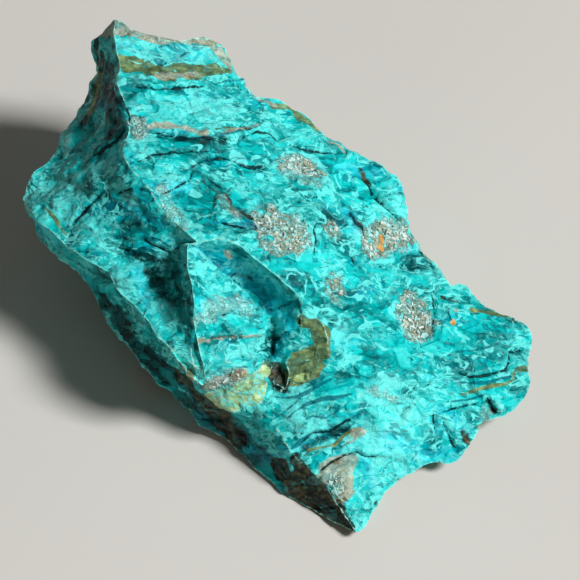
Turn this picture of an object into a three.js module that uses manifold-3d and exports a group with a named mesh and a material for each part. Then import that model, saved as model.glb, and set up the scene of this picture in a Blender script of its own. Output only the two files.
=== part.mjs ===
// Blue opal specimen: one rough broken piece of banded opal, lying on a flat fracture.
//
// Sizes are millimetres. +X runs along the stone to its thin end, +Y runs across it to the back
// rim and +Z is up. The origin is under the middle of the stone, on the surface that it lies on.
//
// The stone is drawn as a sculptor would block it out: named corners, the broken ridges that join
// them, and the fracture faces between the ridges. Each face is filled with a skin that swells or
// is scooped out, the skins are closed into one solid, its surface is roughened, and the underside
// is cut flat.

import * as THREE from "three";
import { ImprovedNoise } from "three/addons/math/ImprovedNoise.js";
import { mergeVertices } from "three/addons/utils/BufferGeometryUtils.js";
import Module from "manifold-3d";

// Driving sizes.
const OPEN_SPACING = 1.6; // between the points of a face that lies open when the stone rests
const UNDER_SPACING = 2.4; // between the points of a face on the back or the underside
const RIDGE_WANDER = 0.55; // how far a broken ridge strays from its drawn line
const ROUGH_HEIGHT = 0.3; // lumps left all over by the fracture
const ROUGH_LENGTH = 5; // from one such lump to the next
const CHIP_DEPTH = 1.3; // of the shell-shaped chips that meet in low sharp ridges
const CHIP_SPAN = 8; // across one such chip
const FLAKE_DEPTH = 3.2; // of the large flakes broken off the back and the ends
const FLAKE_SPAN = 17; // across one such flake
const LEDGE_HEIGHT = 0.45; // rise of the steps where the bands break one after another
const LEDGE_STEP = 6.5; // from one such step to the next
const LOWEST_CUT = 0; // height of the flat underside
const MERGE_WITHIN = 0.001; // points closer than this are one point

// Large flakes have broken off the sides that face this way.
const FLAKED_SIDE = new THREE.Vector3(-0.2, 0.98, -0.1).normalize();

// The bands of the opal lie square to this direction.
const BANDING = new THREE.Vector3(-0.57, 0.57, 0.6).normalize();

// Seeds of the noise that each kind of unevenness is drawn from.
const SEEDS = { wander: [3.1, 41.7, 77.9], rough: 29.5, chips: 83.3, ledges: 11.3, ledgePatches: 61.9 };

const OPAL_COLOUR = 0x12a9ad;
const OPAL_ROUGHNESS = 0.45;

// Corners of the stone: [along, across, up].
const CORNERS = {
  peak: [-56, 8.5, 40.5],
  rim_end: [-38, 21.5, 34.5],
  nook: [-29.5, 20, 29.5],
  back_bend: [-12.5, 27, 23.5],
  lobe_root: [19, 24, 12],
  lobe_tip: [37, 28, 8.5],
  lobe_foot: [42.5, 8.5, 6],
  step: [43.5, 5.5, 5],
  tip: [41.5, -24.5, 2.5],
  base_east: [17.5, -26.5, 1],
  base_mid: [4.5, -27.5, 2.5],
  base_west: [-27, -25, 11],
  nose: [-48, -24, 21.5],
  fold: [-50, -14.5, 23],
  crest_top: [-53.5, 5.5, 41],
  crest_knee: [-32.5, -12, 38],
  crest_mid: [-18.5, -14.5, 35.5],
  crest_end: [-9.5, -15, 34.5],
  apex: [-10, -16.5, 34.5],
  cleft: [-13, -15.5, 30],
  ledge_end: [-23, 15, 31],
  cheek: [-20.5, -27, 26.5],
  block_top: [-15, -19, 28.5],
  block_foot: [-12.5, -28, 24.5],
  vein_west: [5, -27.5, 15.5],
  vein_east: [10, -17, 17.5],
  lobe_corner: [6, -27.5, 13.5],
  lobe_end: [13.5, -23, 12.5],
  gap_west: [10.5, -16.5, 17],
  gap_north: [12.5, -14, 18],
  gap_east: [16, -17.5, 15.5],
  gap_south: [15, -18.5, 14.5],
  scoop_end: [9.5, -6.5, 26],
  scoop_toe: [8, -14, 20],
  patch_top: [11.5, -8.5, 22.5],
  patch_end: [19, -8.5, 20],
  hub: [0.5, 6, 29],
  lobe_mid: [35.5, 9, 9.5],
  belt_west: [-56, -3.5, 13],
  belt_north: [-52.5, 14, 15],
  belt_back: [-35.5, 24, 11],
  belt_mid: [-17, 29.5, 9],
  belt_east: [8.5, 29.5, 5.5],
  foot_west: [-34, -8, -2],
  foot_north: [-34, 7, -2],
  foot_back: [-14, 15, -2],
  foot_mid: [13, 15, -2],
  foot_east: [29, 6, -2],
  foot_tip: [31, -16, -2],
  foot_south: [6, -19.5, -2],
  foot_front: [-18, -15.5, -2],
};

// Ridges: the corner each starts from, the points it passes and the corner it ends at.
const RIDGES = {
  north_rim: ["peak", [-53, 10, 40], [-49.5, 11.5, 39], [-44.5, 16, 38], [-42, 21, 36.5], "rim_end"],
  shoulder: ["rim_end", [-35.5, 20.5, 33], [-33.5, 21.5, 31.5], "nook"],
  back_high: ["nook", [-26.5, 24, 28], [-20, 26, 25.5], [-15, 26, 24], "back_bend"],
  back_low: [
    "back_bend", [-7.5, 29.5, 22], [-1.5, 30.5, 19.5], [3, 28.5, 17.5], [7, 25.5, 15], [15, 24.5, 13.5],
    "lobe_root",
  ],
  lobe_back: ["lobe_root", [20.5, 26.5, 11], [24.5, 26, 10], [29.5, 27.5, 9.5], [34, 29, 9.5], "lobe_tip"],
  lobe_front: ["lobe_tip", [38.5, 25.5, 8], [40, 23, 7.5], [43.5, 20.5, 7.5], [44.5, 16, 6.5], "lobe_foot"],
  notch: ["lobe_foot", [43, 7, 5.5], "step"],
  thin_edge: [
    "step", [44.5, 3, 5], [44, -1.5, 4], [41.5, -3, 4], [40.5, -8, 3.5], [39.5, -13, 3],
    [41, -20, 2.5], "tip",
  ],
  base_line_east: ["base_east", [26, -26.5, 0.5], [33, -25.5, 0.5], "tip"],
  base_line_mid: ["base_mid", [10, -26.5, 1.5], "base_east"],
  base_line_west: ["base_west", [-22.5, -26.5, 9], [-13, -28, 7], [-1, -28, 4], "base_mid"],
  nose_under: ["nose", [-42.5, -26, 16.5], [-37, -26, 15.5], [-32.5, -25, 13.5], "base_west"],
  nose_edge: ["fold", [-50.5, -18.5, 22.5], "nose"],
  west_edge: ["peak", [-59, 5, 34], [-56.5, 3, 30], [-54.5, -1.5, 26.5], [-53.5, -7, 23.5], "fold"],
  peak_drop: ["peak", "crest_top"],
  crust_line: ["crest_top", [-51, 8, 40.5], [-45.5, 13, 39], [-40, 19.5, 36], "rim_end"],
  crest_high: ["crest_top", [-47.5, 1.5, 41], [-43, -2.5, 40.5], [-37, -5.5, 39.5], "crest_knee"],
  crest_low: ["crest_knee", [-25, -13.5, 37], "crest_mid"],
  crest_tail: ["crest_mid", [-13.5, -15, 35], "crest_end"],
  crest_gap: ["crest_end", "apex"],
  ledge: ["crest_knee", [-27.5, -9, 38], [-24, -2.5, 36.5], [-21.5, 8, 33], "ledge_end"],
  nook_line: ["ledge_end", [-26.5, 17, 31], "nook"],
  west_fold: ["fold", [-43, -15.5, 27], [-37.5, -14, 31.5], "crest_knee"],
  bulge_rim: ["nose", [-41, -26.5, 24.5], [-33.5, -28, 26], [-26, -28.5, 27], "cheek"],
  bulge_edge: ["cheek", [-20.5, -23, 27], "block_top"],
  cleft_edge: ["block_top", "cleft"],
  cleft_wall: ["cleft", [-11, -16.5, 33.5], "crest_end"],
  block_ridge: ["block_top", [-14, -23, 25.5], "block_foot"],
  block_rim: ["cheek", [-18, -28.5, 25], "block_foot"],
  shelf_rim: [
    "block_foot", [-7, -30, 26], [-1.5, -31, 26], [2.3, -31.3, 24.3], [4.3, -30.2, 20.5],
    [5.3, -29.2, 17.5], "vein_west",
  ],
  valley: [
    "cleft", [-11, -19.5, 27.5], [-8, -22.5, 27.5], [-2, -25.5, 27.8], [1.2, -27.6, 27],
    [3.7, -28.8, 23.6], [4.6, -28.8, 19], "vein_west",
  ],
  pyramid_west: [
    "apex", [-6.5, -20, 34], [-1.5, -23.3, 32.5], [1.3, -26, 29], [4, -27.5, 25.7],
    [5.8, -27.9, 21], "vein_west",
  ],
  pyramid_east: [
    "apex", [-8, -15.5, 33], [-6, -14.5, 31], [-2, -13, 26.5], [1.5, -11, 23], [5, -11, 21],
    "scoop_toe",
  ],
  pyramid_heel: ["scoop_toe", [8.5, -15, 18.5], "vein_east"],
  toe_line: ["scoop_toe", [10, -12, 21.7], "patch_top"],
  vein_line: ["vein_west", [8, -22.5, 17.5], "vein_east"],
  lobe_side: ["vein_west", "lobe_corner"],
  lobe_rim: ["lobe_corner", [9.5, -27, 12.5], [12.5, -25.5, 12], "lobe_end"],
  lobe_inner: ["lobe_end", [14.5, -21, 13.5], "gap_south"],
  gap_west_side: ["gap_south", [13, -17.5, 16], "gap_west"],
  gap_top: ["vein_east", "gap_west"],
  gap_north_side: ["gap_west", [11.5, -15, 17.5], "gap_north"],
  gap_east_side: ["gap_north", [15.5, -15.5, 17.5], "gap_east"],
  gap_south_side: ["gap_east", "gap_south"],
  scoop_rim: ["crest_end", [-6, -10, 33.5], [-0.5, -8.5, 31.5], [5, -7, 29], "scoop_end"],
  scoop_side: ["scoop_end", "patch_top"],
  patch_west: ["patch_top", [13, -11, 20.3], "gap_north"],
  patch_rim: ["patch_top", [13, -5.5, 23], "patch_end"],
  patch_foot: ["gap_east", [17.5, -14, 17], [18.5, -11.5, 18.5], "patch_end"],
  mid_crease: ["back_bend", [-3.5, 12, 28], "hub"],
  hub_drop: ["hub", [5, 1, 27], "scoop_end"],
  mid_slope: ["crest_mid", [-11, -2, 34], "hub"],
  low_break: ["patch_end", [29, 2.5, 14.5], "lobe_mid"],
  lobe_seam: ["lobe_root", [19.5, 20, 13.5], [25.5, 14.5, 12.5], "lobe_mid"],
  lobe_heel: ["lobe_mid", [37.5, 7.5, 9], "lobe_foot"],
  cliff_rim: ["lobe_end", [18.5, -22.5, 11.5], [24, -23.5, 9.5], [30, -23, 7], [36, -23.5, 4.5], "tip"],
  cliff_rib_west: ["cheek", [-24, -25.5, 18], "base_west"],
  cliff_rib_mid: ["lobe_corner", [5, -27.5, 7.5], "base_mid"],
  cliff_rib_east: ["lobe_end", [15.5, -24, 7], "base_east"],
  back_peak: ["peak", [-56.5, 11.5, 30], "belt_north"],
  back_nook: ["nook", "belt_back"],
  back_mid: ["back_bend", [-16.5, 30.5, 18], "belt_mid"],
  back_root: ["lobe_root", "belt_east"],
  back_fold: ["fold", [-53.5, -10, 17], "belt_west"],
  belt_1: ["belt_west", [-56, 5, 15], "belt_north"],
  belt_2: ["belt_north", [-45.5, 20, 13], "belt_back"],
  belt_3: ["belt_back", [-26, 27.5, 11], "belt_mid"],
  belt_4: ["belt_mid", [-3.5, 32, 8], "belt_east"],
  under_west: ["belt_west", "foot_west"],
  under_north: ["belt_north", "foot_north"],
  under_back: ["belt_back", "foot_back"],
  under_east: ["belt_east", "foot_mid"],
  under_lobe: ["lobe_foot", "foot_east"],
  under_tip: ["tip", "foot_tip"],
  under_base_east: ["base_east", "foot_south"],
  under_base_mid: ["base_mid", "foot_south"],
  under_base_west: ["base_west", "foot_front"],
  under_nose: ["nose", [-46, -15, 7], "foot_west"],
  foot_1: ["foot_west", "foot_north"],
  foot_2: ["foot_north", "foot_back"],
  foot_3: ["foot_back", "foot_mid"],
  foot_4: ["foot_mid", "foot_east"],
  foot_5: ["foot_east", "foot_tip"],
  foot_6: ["foot_tip", "foot_south"],
  foot_7: ["foot_south", "foot_front"],
  foot_8: ["foot_front", "foot_west"],
};

// Fracture faces: the ridges round each, anticlockwise from outside, with "-" before one that is
// run backwards, and how far the middle swells (+) or is scooped out (-).
const OPEN_FACES = {
  crust: { round: "peak_drop crust_line -north_rim", swell: 0.3 },
  upper_face: { round: "crest_high ledge nook_line -shoulder -crust_line", swell: 0.9 },
  west_wall: { round: "west_edge west_fold -crest_high -peak_drop", swell: -1.2 },
  west_bulge: {
    round: "nose_edge bulge_rim bulge_edge cleft_edge cleft_wall -crest_tail -crest_low -west_fold",
    swell: -0.3,
  },
  block: { round: "block_rim -block_ridge -bulge_edge", swell: 0.5 },
  valley_side: { round: "block_ridge shelf_rim -valley -cleft_edge", swell: -0.3 },
  pyramid_shade: { round: "valley -pyramid_west -crest_gap -cleft_wall", swell: -0.2 },
  pyramid_face: { round: "pyramid_west vein_line -pyramid_heel -pyramid_east", swell: -0.6 },
  yellow_lobe: { round: "lobe_side lobe_rim lobe_inner gap_west_side -gap_top -vein_line", swell: 1.0 },
  gap: { round: "-gap_east_side -gap_north_side -gap_west_side -gap_south_side", swell: -1.3 },
  scoop: { round: "crest_gap pyramid_east toe_line -scoop_side -scoop_rim", swell: -1.8 },
  toe: { round: "pyramid_heel gap_top gap_north_side -patch_west -toe_line", swell: 0 },
  slope_high: { round: "crest_low mid_slope -mid_crease -back_high -nook_line -ledge", swell: -0.6 },
  slope_mid: { round: "crest_tail scoop_rim -hub_drop -mid_slope", swell: 0.5 },
  slope_east: {
    round: "mid_crease hub_drop scoop_side patch_rim low_break -lobe_seam -back_low",
    swell: -0.8,
  },
  yellow_patch: { round: "patch_west gap_east_side patch_foot -patch_rim", swell: -0.4 },
  low_face: {
    round: "cliff_rim -thin_edge -notch -lobe_heel -low_break -patch_foot gap_south_side -lobe_inner",
    swell: 1.1,
  },
  thin_lobe: { round: "lobe_seam lobe_heel -lobe_front -lobe_back", swell: 0.6 },
  cliff_nose: { round: "nose_under -cliff_rib_west -bulge_rim", swell: -1.0 },
  cliff_west: {
    round: "cliff_rib_west base_line_west -cliff_rib_mid -lobe_side -shelf_rim -block_rim",
    swell: -1.2,
  },
  cliff_mid: { round: "cliff_rib_mid base_line_mid -cliff_rib_east -lobe_rim", swell: -0.8 },
  cliff_east: { round: "cliff_rib_east base_line_east -cliff_rim", swell: 0.4 },
};

const UNDER_FACES = {
  wall_west: { round: "back_peak -belt_1 -back_fold -west_edge", swell: 1.5 },
  wall_north: { round: "north_rim shoulder back_nook -belt_2 -back_peak", swell: -1.5 },
  wall_back: { round: "back_high back_mid -belt_3 -back_nook", swell: 1.5 },
  wall_east: { round: "back_low back_root -belt_4 -back_mid", swell: -1.2 },
  lobe_under: { round: "lobe_back lobe_front under_lobe -foot_4 -under_east -back_root", swell: -0.8 },
  thin_under: { round: "notch thin_edge under_tip -foot_5 -under_lobe", swell: -1.0 },
  front_under_east: { round: "under_base_east -foot_6 -under_tip -base_line_east", swell: 0.2 },
  front_under_mid: { round: "under_base_mid -under_base_east -base_line_mid", swell: 0 },
  front_under_west: { round: "under_base_west -foot_7 -under_base_mid -base_line_west", swell: -0.5 },
  nose_hollow: { round: "under_nose -foot_8 -under_base_west -nose_under", swell: -1.5 },
  fold_hollow: { round: "back_fold under_west -under_nose -nose_edge", swell: -1.0 },
  north_under: { round: "belt_1 under_north -foot_1 -under_west", swell: -1.0 },
  back_under: { round: "belt_2 under_back -foot_2 -under_north", swell: -1.0 },
  east_under: { round: "belt_3 belt_4 under_east -foot_3 -under_back", swell: -1.0 },
  rest: { round: "foot_1 foot_2 foot_3 foot_4 foot_5 foot_6 foot_7 foot_8", swell: 0 },
};

// Weathered pits in the open faces: [along, across], radius and depth.
const PITS = [
  { at: [-6.5, 4], radius: 6, depth: 1.0 },
  { at: [9, 17], radius: 5.5, depth: 1.1 },
  { at: [21, 9], radius: 4.5, depth: 1.0 },
  { at: [-11, 16], radius: 4, depth: 0.5 },
  { at: [36, -18], radius: 5, depth: 0.6 },
  { at: [-14, -5], radius: 4, depth: 0.5 },
];

const perlin = new ImprovedNoise();

// Lumpy noise from about -1 to 1: each finer layer is half as high as the one before.
function lumps(point, length, seed, layers) {
  const SEED_STEP = 17.3;
  const SEED_LIFT = 0.37;
  const FINER = 2.1;
  let sum = 0;
  let height = 1;
  let rate = 1 / length;
  for (let layer = 0; layer < layers; layer++) {
    const shift = seed + SEED_STEP * layer;
    const x = point.x * rate + shift;
    const y = point.y * rate - shift;
    const z = point.z * rate + SEED_LIFT * shift;
    sum += height * perlin.noise(x, y, z);
    height /= 2;
    rate *= FINER;
  }
  return sum;
}

// The uneven line of a broken ridge: every point near it strays in the same way, so that ridges
// which meet at a corner still meet.
function stray(point) {
  const WANDER_LENGTH = 5;
  const [x, y, z] = SEEDS.wander.map((seed) => lumps(point, WANDER_LENGTH, seed, 2));
  return new THREE.Vector3(x, y, z).multiplyScalar(RIDGE_WANDER);
}

// Points along a ridge, evenly spaced, from its first corner to its last.
function ridgePoints(name, spacing) {
  const drawn = RIDGES[name].map((stop) => new THREE.Vector3(...(CORNERS[stop] ?? stop)));
  const curve = new THREE.CatmullRomCurve3(drawn, false, "centripetal");
  const steps = Math.max(2, Math.round(curve.getLength() / spacing));
  return curve.getSpacedPoints(steps).map((point) => point.clone().add(stray(point)));
}

// The names of the ridges round a face, each with whether it is run backwards.
function ridgesRound(face) {
  return face.round.split(" ").map((step) => ({
    name: step.replace("-", ""),
    backwards: step.startsWith("-"),
  }));
}

const openRidges = new Set(Object.values(OPEN_FACES).flatMap(ridgesRound).map(({ name }) => name));
const ridgeLines = Object.fromEntries(
  Object.keys(RIDGES).map((name) => {
    const spacing = openRidges.has(name) ? OPEN_SPACING : UNDER_SPACING;
    return [name, ridgePoints(name, spacing)];
  }),
);

// The closed line of points round a face.
function outlineOf(face) {
  return ridgesRound(face).flatMap(({ name, backwards }) => {
    const line = ridgeLines[name];
    return (backwards ? [...line].reverse() : line).slice(0, -1);
  });
}

// The flat frame that a face is laid out in: its average normal and two directions square to it.
function flatFrame(outline) {
  const STEEP = 0.8;
  const normal = new THREE.Vector3();
  outline.forEach((point, i) => {
    const next = outline[(i + 1) % outline.length];
    normal.add(new THREE.Vector3().crossVectors(point, next));
  });
  normal.normalize();
  const helper = Math.abs(normal.z) < STEEP ? new THREE.Vector3(0, 0, 1) : new THREE.Vector3(1, 0, 0);
  const across = new THREE.Vector3().crossVectors(helper, normal).normalize();
  const up = new THREE.Vector3().crossVectors(normal, across);
  return { normal, across, up };
}

// Twice the signed area of the triangle a, b, c: positive when it runs anticlockwise.
function turn(a, b, c) {
  return (b.x - a.x) * (c.y - a.y) - (b.y - a.y) * (c.x - a.x);
}

// Whether d lies well inside the circle through the anticlockwise triangle a, b, c.
function insideCircle(a, b, c, d) {
  const ROUNDING = 1e-9;
  const [ax, ay, bx, by, cx, cy] = [a.x - d.x, a.y - d.y, b.x - d.x, b.y - d.y, c.x - d.x, c.y - d.y];
  const a2 = ax * ax + ay * ay;
  const b2 = bx * bx + by * by;
  const c2 = cx * cx + cy * cy;
  return ax * (by * c2 - b2 * cy) - ay * (bx * c2 - b2 * cx) + a2 * (bx * cy - by * cx) > ROUNDING;
}

// A flat net of triangles inside an outline. Each directed edge remembers the third corner of the
// triangle on its left, and edges are swapped until the triangles are as even as they can be.
class TriangleNet {
  static MOST_POINTS = 65536;

  constructor(points) {
    this.points = points;
    this.third = new Map();
  }

  key(a, b) {
    return a * TriangleNet.MOST_POINTS + b;
  }

  add(a, b, c) {
    this.third.set(this.key(a, b), c);
    this.third.set(this.key(b, c), a);
    this.third.set(this.key(c, a), b);
  }

  remove(a, b, c) {
    this.third.delete(this.key(a, b));
    this.third.delete(this.key(b, c));
    this.third.delete(this.key(c, a));
  }

  // Swaps the edge from a to b, which has p on its left, if the swap evens the two triangles.
  improve(a, b, p) {
    const q = this.third.get(this.key(b, a));
    if (q === undefined) return;
    const [pa, pb, pp, pq] = [a, b, p, q].map((i) => this.points[i]);
    if (!insideCircle(pa, pb, pp, pq)) return;
    this.remove(a, b, p);
    this.remove(b, a, q);
    this.add(p, a, q);
    this.add(p, q, b);
    this.improve(a, q, p);
    this.improve(q, b, p);
  }

  triangles() {
    const found = [];
    for (const [edge, c] of this.third) {
      const a = Math.floor(edge / TriangleNet.MOST_POINTS);
      const b = edge % TriangleNet.MOST_POINTS;
      if (a < b && a < c) found.push([a, b, c]);
    }
    return found;
  }

  // Puts a new point in the triangle that holds it.
  insert(point) {
    const home = this.triangles().find(([a, b, c]) => {
      const [pa, pb, pc] = [a, b, c].map((i) => this.points[i]);
      return turn(pa, pb, point) > 0 && turn(pb, pc, point) > 0 && turn(pc, pa, point) > 0;
    });
    if (!home) return;
    const p = this.points.push(point) - 1;
    const [a, b, c] = home;
    this.remove(a, b, c);
    this.add(a, b, p);
    this.add(b, c, p);
    this.add(c, a, p);
    this.improve(a, b, p);
    this.improve(b, c, p);
    this.improve(c, a, p);
  }
}

// How far a point lies from the nearest stretch of an outline.
function outlineDistance(point, outline) {
  let nearest = Infinity;
  outline.forEach((a, i) => {
    const b = outline[(i + 1) % outline.length];
    const run = b.clone().sub(a);
    const along = THREE.MathUtils.clamp(point.clone().sub(a).dot(run) / run.lengthSq(), 0, 1);
    nearest = Math.min(nearest, point.distanceTo(a.clone().addScaledVector(run, along)));
  });
  return nearest;
}

// Lays points in staggered, slightly uneven rows over an outline, clear of its edge.
function innerPoints(outline, spacing) {
  const CLEAR_OF_EDGE = 0.62;
  const ROW_RISE = Math.sqrt(0.75);
  const SWAY_ACROSS = 0.3;
  const SWAY_UP = 0.24;
  const SWAY_RATE = 1.7;
  const box = new THREE.Box2().setFromPoints(outline);
  const inner = [];
  for (let row = 0, y = box.min.y; y < box.max.y; row++, y += ROW_RISE * spacing) {
    for (let x = box.min.x + (row % 2) * (spacing / 2); x < box.max.x; x += spacing) {
      const sway = perlin.noise(x * SWAY_RATE, y * SWAY_RATE, 0.5) * spacing;
      const point = new THREE.Vector2(x + SWAY_ACROSS * sway, y - SWAY_UP * sway);
      if (outlineDistance(point, outline) > CLEAR_OF_EDGE * spacing) inner.push(point);
    }
  }
  return inner;
}

// Lists the neighbours of each point of a net.
function neighboursOf(count, triangles) {
  const neighbours = Array.from({ length: count }, () => new Set());
  for (const [a, b, c] of triangles) {
    neighbours[a].add(b).add(c);
    neighbours[b].add(c).add(a);
    neighbours[c].add(a).add(b);
  }
  return neighbours.map((set) => [...set]);
}

// Stretches a skin over fixed edge heights, each inner point pushed out by the same small force.
function stretch(edgeHeights, neighbours, push) {
  const ROUNDS = 400;
  const heights = new Float64Array(neighbours.length);
  heights.set(edgeHeights);
  for (let round = 0; round < ROUNDS; round++) {
    for (let i = edgeHeights.length; i < heights.length; i++) {
      const total = neighbours[i].reduce((sum, j) => sum + heights[j], 0);
      heights[i] = total / neighbours[i].length + push;
    }
  }
  return heights;
}

// The skin of one fracture face, as corner points three by three.
function faceSkin(face, spacing) {
  const outline = outlineOf(face);
  const { normal, across, up } = flatFrame(outline);
  const flat = outline.map((point) => new THREE.Vector2(point.dot(across), point.dot(up)));
  const net = new TriangleNet([...flat]);
  for (const [a, b, c] of THREE.ShapeUtils.triangulateShape(flat, [])) {
    if (turn(flat[a], flat[b], flat[c]) > 0) net.add(a, b, c);
    else net.add(a, c, b);
  }
  innerPoints(flat, spacing).forEach((point) => net.insert(point));
  const triangles = net.triangles();
  const neighbours = neighboursOf(net.points.length, triangles);
  const edgeHeights = outline.map((point) => point.dot(normal));
  const heights = stretch(edgeHeights, neighbours, 0);
  const dome = stretch(edgeHeights.map(() => 0), neighbours, 1);
  const domeTop = Math.max(1, ...dome);
  const placed = net.points.map((point, i) => {
    if (i < outline.length) return outline[i];
    const height = heights[i] + (face.swell * dome[i]) / domeTop;
    return new THREE.Vector3()
      .addScaledVector(across, point.x)
      .addScaledVector(up, point.y)
      .addScaledVector(normal, height);
  });
  return triangles.flatMap((triangle) => triangle.map((i) => placed[i]));
}

// The skins of all the faces, joined into one closed surface with shared points.
function closedSurface() {
  const corners = [
    ...Object.values(OPEN_FACES).flatMap((face) => faceSkin(face, OPEN_SPACING)),
    ...Object.values(UNDER_FACES).flatMap((face) => faceSkin(face, UNDER_SPACING)),
  ];
  return mergeVertices(new THREE.BufferGeometry().setFromPoints(corners), MERGE_WITHIN);
}

// A repeatable number for each cell of a grid.
function cellSeed(cell) {
  return cell.x * 73856093 + cell.y * 19349663 + cell.z * 83492791;
}

// Shell-shaped chips: 0 at the middle of each, rising to the sharp ridges where they meet.
function chipHeight(point, span) {
  const BEND = 1.5;
  const BEND_LENGTH = 11;
  const AROUND = [-1, 0, 1];
  const bent = point.clone().addScalar(BEND * lumps(point, BEND_LENGTH, SEEDS.chips, 2)).divideScalar(span);
  const home = bent.clone().floor();
  const middle = new THREE.Vector3();
  let nearest = 1;
  for (const dz of AROUND) {
    for (const dy of AROUND) {
      for (const dx of AROUND) {
        const cell = new THREE.Vector3(dx, dy, dz).add(home);
        const first = THREE.MathUtils.seededRandom(cellSeed(cell));
        middle.set(first, THREE.MathUtils.seededRandom(), THREE.MathUtils.seededRandom());
        nearest = Math.min(nearest, middle.add(cell).distanceToSquared(bent));
      }
    }
  }
  return nearest;
}

// How far the weathered pits lower the surface at a point.
function pitDepth(point) {
  return PITS.reduce((sum, { at, radius, depth }) => {
    const away = Math.hypot(point.x - at[0], point.y - at[1]) / radius;
    return away < 1 ? sum + depth * (1 - away * away) ** 2 : sum;
  }, 0);
}

// Steps where one band after another has broken off: a slow rise, then a sudden drop.
function ledgeHeight(point) {
  const SLOW_SHARE = 0.75;
  const BEND = 2.2;
  const BEND_LENGTH = 24;
  const PATCH_LENGTH = 17;
  const PATCH_EDGES = [-0.35, 0.3];
  const bent = point.dot(BANDING) + BEND * lumps(point, BEND_LENGTH, SEEDS.ledges, 2);
  const phase = THREE.MathUtils.euclideanModulo(bent / LEDGE_STEP, 1);
  const saw = phase < SLOW_SHARE ? phase / SLOW_SHARE : (1 - phase) / (1 - SLOW_SHARE);
  const patches = lumps(point, PATCH_LENGTH, SEEDS.ledgePatches, 1);
  const patchy = THREE.MathUtils.smoothstep(patches, ...PATCH_EDGES);
  return (saw - 0.5) * patchy;
}

// Moves every point of the stone in or out by the lumps, chips, ledges and pits of its surface.
function roughen(geometry) {
  const MEAN_CHIP = 0.3;
  const UPWARD = [0.1, 0.4];
  const FLAKED = [0.68, 0.9];
  geometry.computeVertexNormals();
  const position = geometry.getAttribute("position");
  const normals = geometry.getAttribute("normal");
  const point = new THREE.Vector3();
  const out = new THREE.Vector3();
  for (let i = 0; i < position.count; i++) {
    point.fromBufferAttribute(position, i);
    out.fromBufferAttribute(normals, i);
    const facingUp = THREE.MathUtils.smoothstep(out.z, ...UPWARD);
    const flaked = THREE.MathUtils.smoothstep(out.dot(FLAKED_SIDE), ...FLAKED);
    const move =
      ROUGH_HEIGHT * lumps(point, ROUGH_LENGTH, SEEDS.rough, 3) +
      CHIP_DEPTH * (chipHeight(point, CHIP_SPAN) - MEAN_CHIP) +
      FLAKE_DEPTH * (chipHeight(point, FLAKE_SPAN) - MEAN_CHIP) * flaked +
      LEDGE_HEIGHT * ledgeHeight(point) -
      pitDepth(point) * facingUp;
    point.addScaledVector(out, move);
    position.setXYZ(i, point.x, point.y, point.z);
  }
  return geometry;
}

const wasm = await Module();
wasm.setup();

// A closed three.js surface as a solid that can be cut.
function solidFrom(geometry) {
  geometry.deleteAttribute("normal");
  geometry.deleteAttribute("uv");
  const merged = mergeVertices(geometry, MERGE_WITHIN);
  return new wasm.Manifold(
    new wasm.Mesh({
      numProp: 3,
      vertProperties: new Float32Array(merged.attributes.position.array),
      triVerts: new Uint32Array(merged.index.array),
    }),
  );
}

// A solid back as a three.js surface.
function surfaceFrom(solid) {
  const { vertProperties, triVerts } = solid.getMesh();
  const geometry = new THREE.BufferGeometry();
  geometry.setAttribute("position", new THREE.BufferAttribute(vertProperties, 3));
  geometry.setIndex(new THREE.BufferAttribute(triVerts, 1));
  return geometry;
}

// Cuts the stone flat at the height it rests on.
function cutFlat(stone) {
  const SLAB_SIDE = 300;
  const SLAB_DEPTH = 30;
  const slab = new THREE.BoxGeometry(SLAB_SIDE, SLAB_SIDE, SLAB_DEPTH);
  slab.translate(0, 0, LOWEST_CUT - SLAB_DEPTH / 2);
  return surfaceFrom(solidFrom(stone).subtract(solidFrom(slab)));
}

// Moves the stone so that the middle of its box stands over the origin and its underside is at 0.
function centre(geometry) {
  geometry.computeBoundingBox();
  const { min, max } = geometry.boundingBox;
  geometry.translate(-(min.x + max.x) / 2, -(min.y + max.y) / 2, -min.z);
  geometry.computeVertexNormals();
  return geometry;
}

function makeStone() {
  const geometry = centre(cutFlat(roughen(closedSurface())));
  const opal = new THREE.MeshStandardMaterial({
    color: OPAL_COLOUR,
    roughness: OPAL_ROUGHNESS,
    metalness: 0,
  });
  const stone = new THREE.Mesh(geometry, opal);
  stone.name = "opal_stone";
  return stone;
}

const specimen = new THREE.Group();
specimen.add(makeStone());

export default specimen;
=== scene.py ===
"""A blue opal specimen: one rough stone with a finely broken, banded and grained surface.

The faceted solid gives the stone its faces and ridges. Its skin is copied from there, made finer, broken
up into chips and ledges, scooped out behind a ridge, carved along its cracks and dressed with an opal
finish. Small grains fill the rough grey patches.
"""

import itertools
import logging
import math
from dataclasses import dataclass, field
from enum import Enum

import bmesh
import bpy
import numpy as np
from mathutils import Matrix, Vector
from mathutils.bvhtree import BVHTree
from mathutils.kdtree import KDTree


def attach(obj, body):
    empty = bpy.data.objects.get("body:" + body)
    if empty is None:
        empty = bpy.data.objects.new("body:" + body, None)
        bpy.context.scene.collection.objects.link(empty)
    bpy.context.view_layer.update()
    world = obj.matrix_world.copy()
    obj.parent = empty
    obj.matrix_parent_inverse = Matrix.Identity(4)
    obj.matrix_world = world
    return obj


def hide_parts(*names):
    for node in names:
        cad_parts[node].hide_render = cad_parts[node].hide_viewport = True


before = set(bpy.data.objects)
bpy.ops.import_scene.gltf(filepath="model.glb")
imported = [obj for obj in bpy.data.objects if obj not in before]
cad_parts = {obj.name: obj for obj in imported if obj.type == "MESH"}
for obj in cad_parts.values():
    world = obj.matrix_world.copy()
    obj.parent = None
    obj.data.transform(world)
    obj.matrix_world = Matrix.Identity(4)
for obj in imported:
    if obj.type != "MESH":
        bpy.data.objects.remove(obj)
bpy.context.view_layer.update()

Pixel = tuple[float, float]
Triple = tuple[float, float, float]
Colour = tuple[float, float, float, float]
Stops = dict[float, str]
Piece = bpy.types.Object
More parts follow.
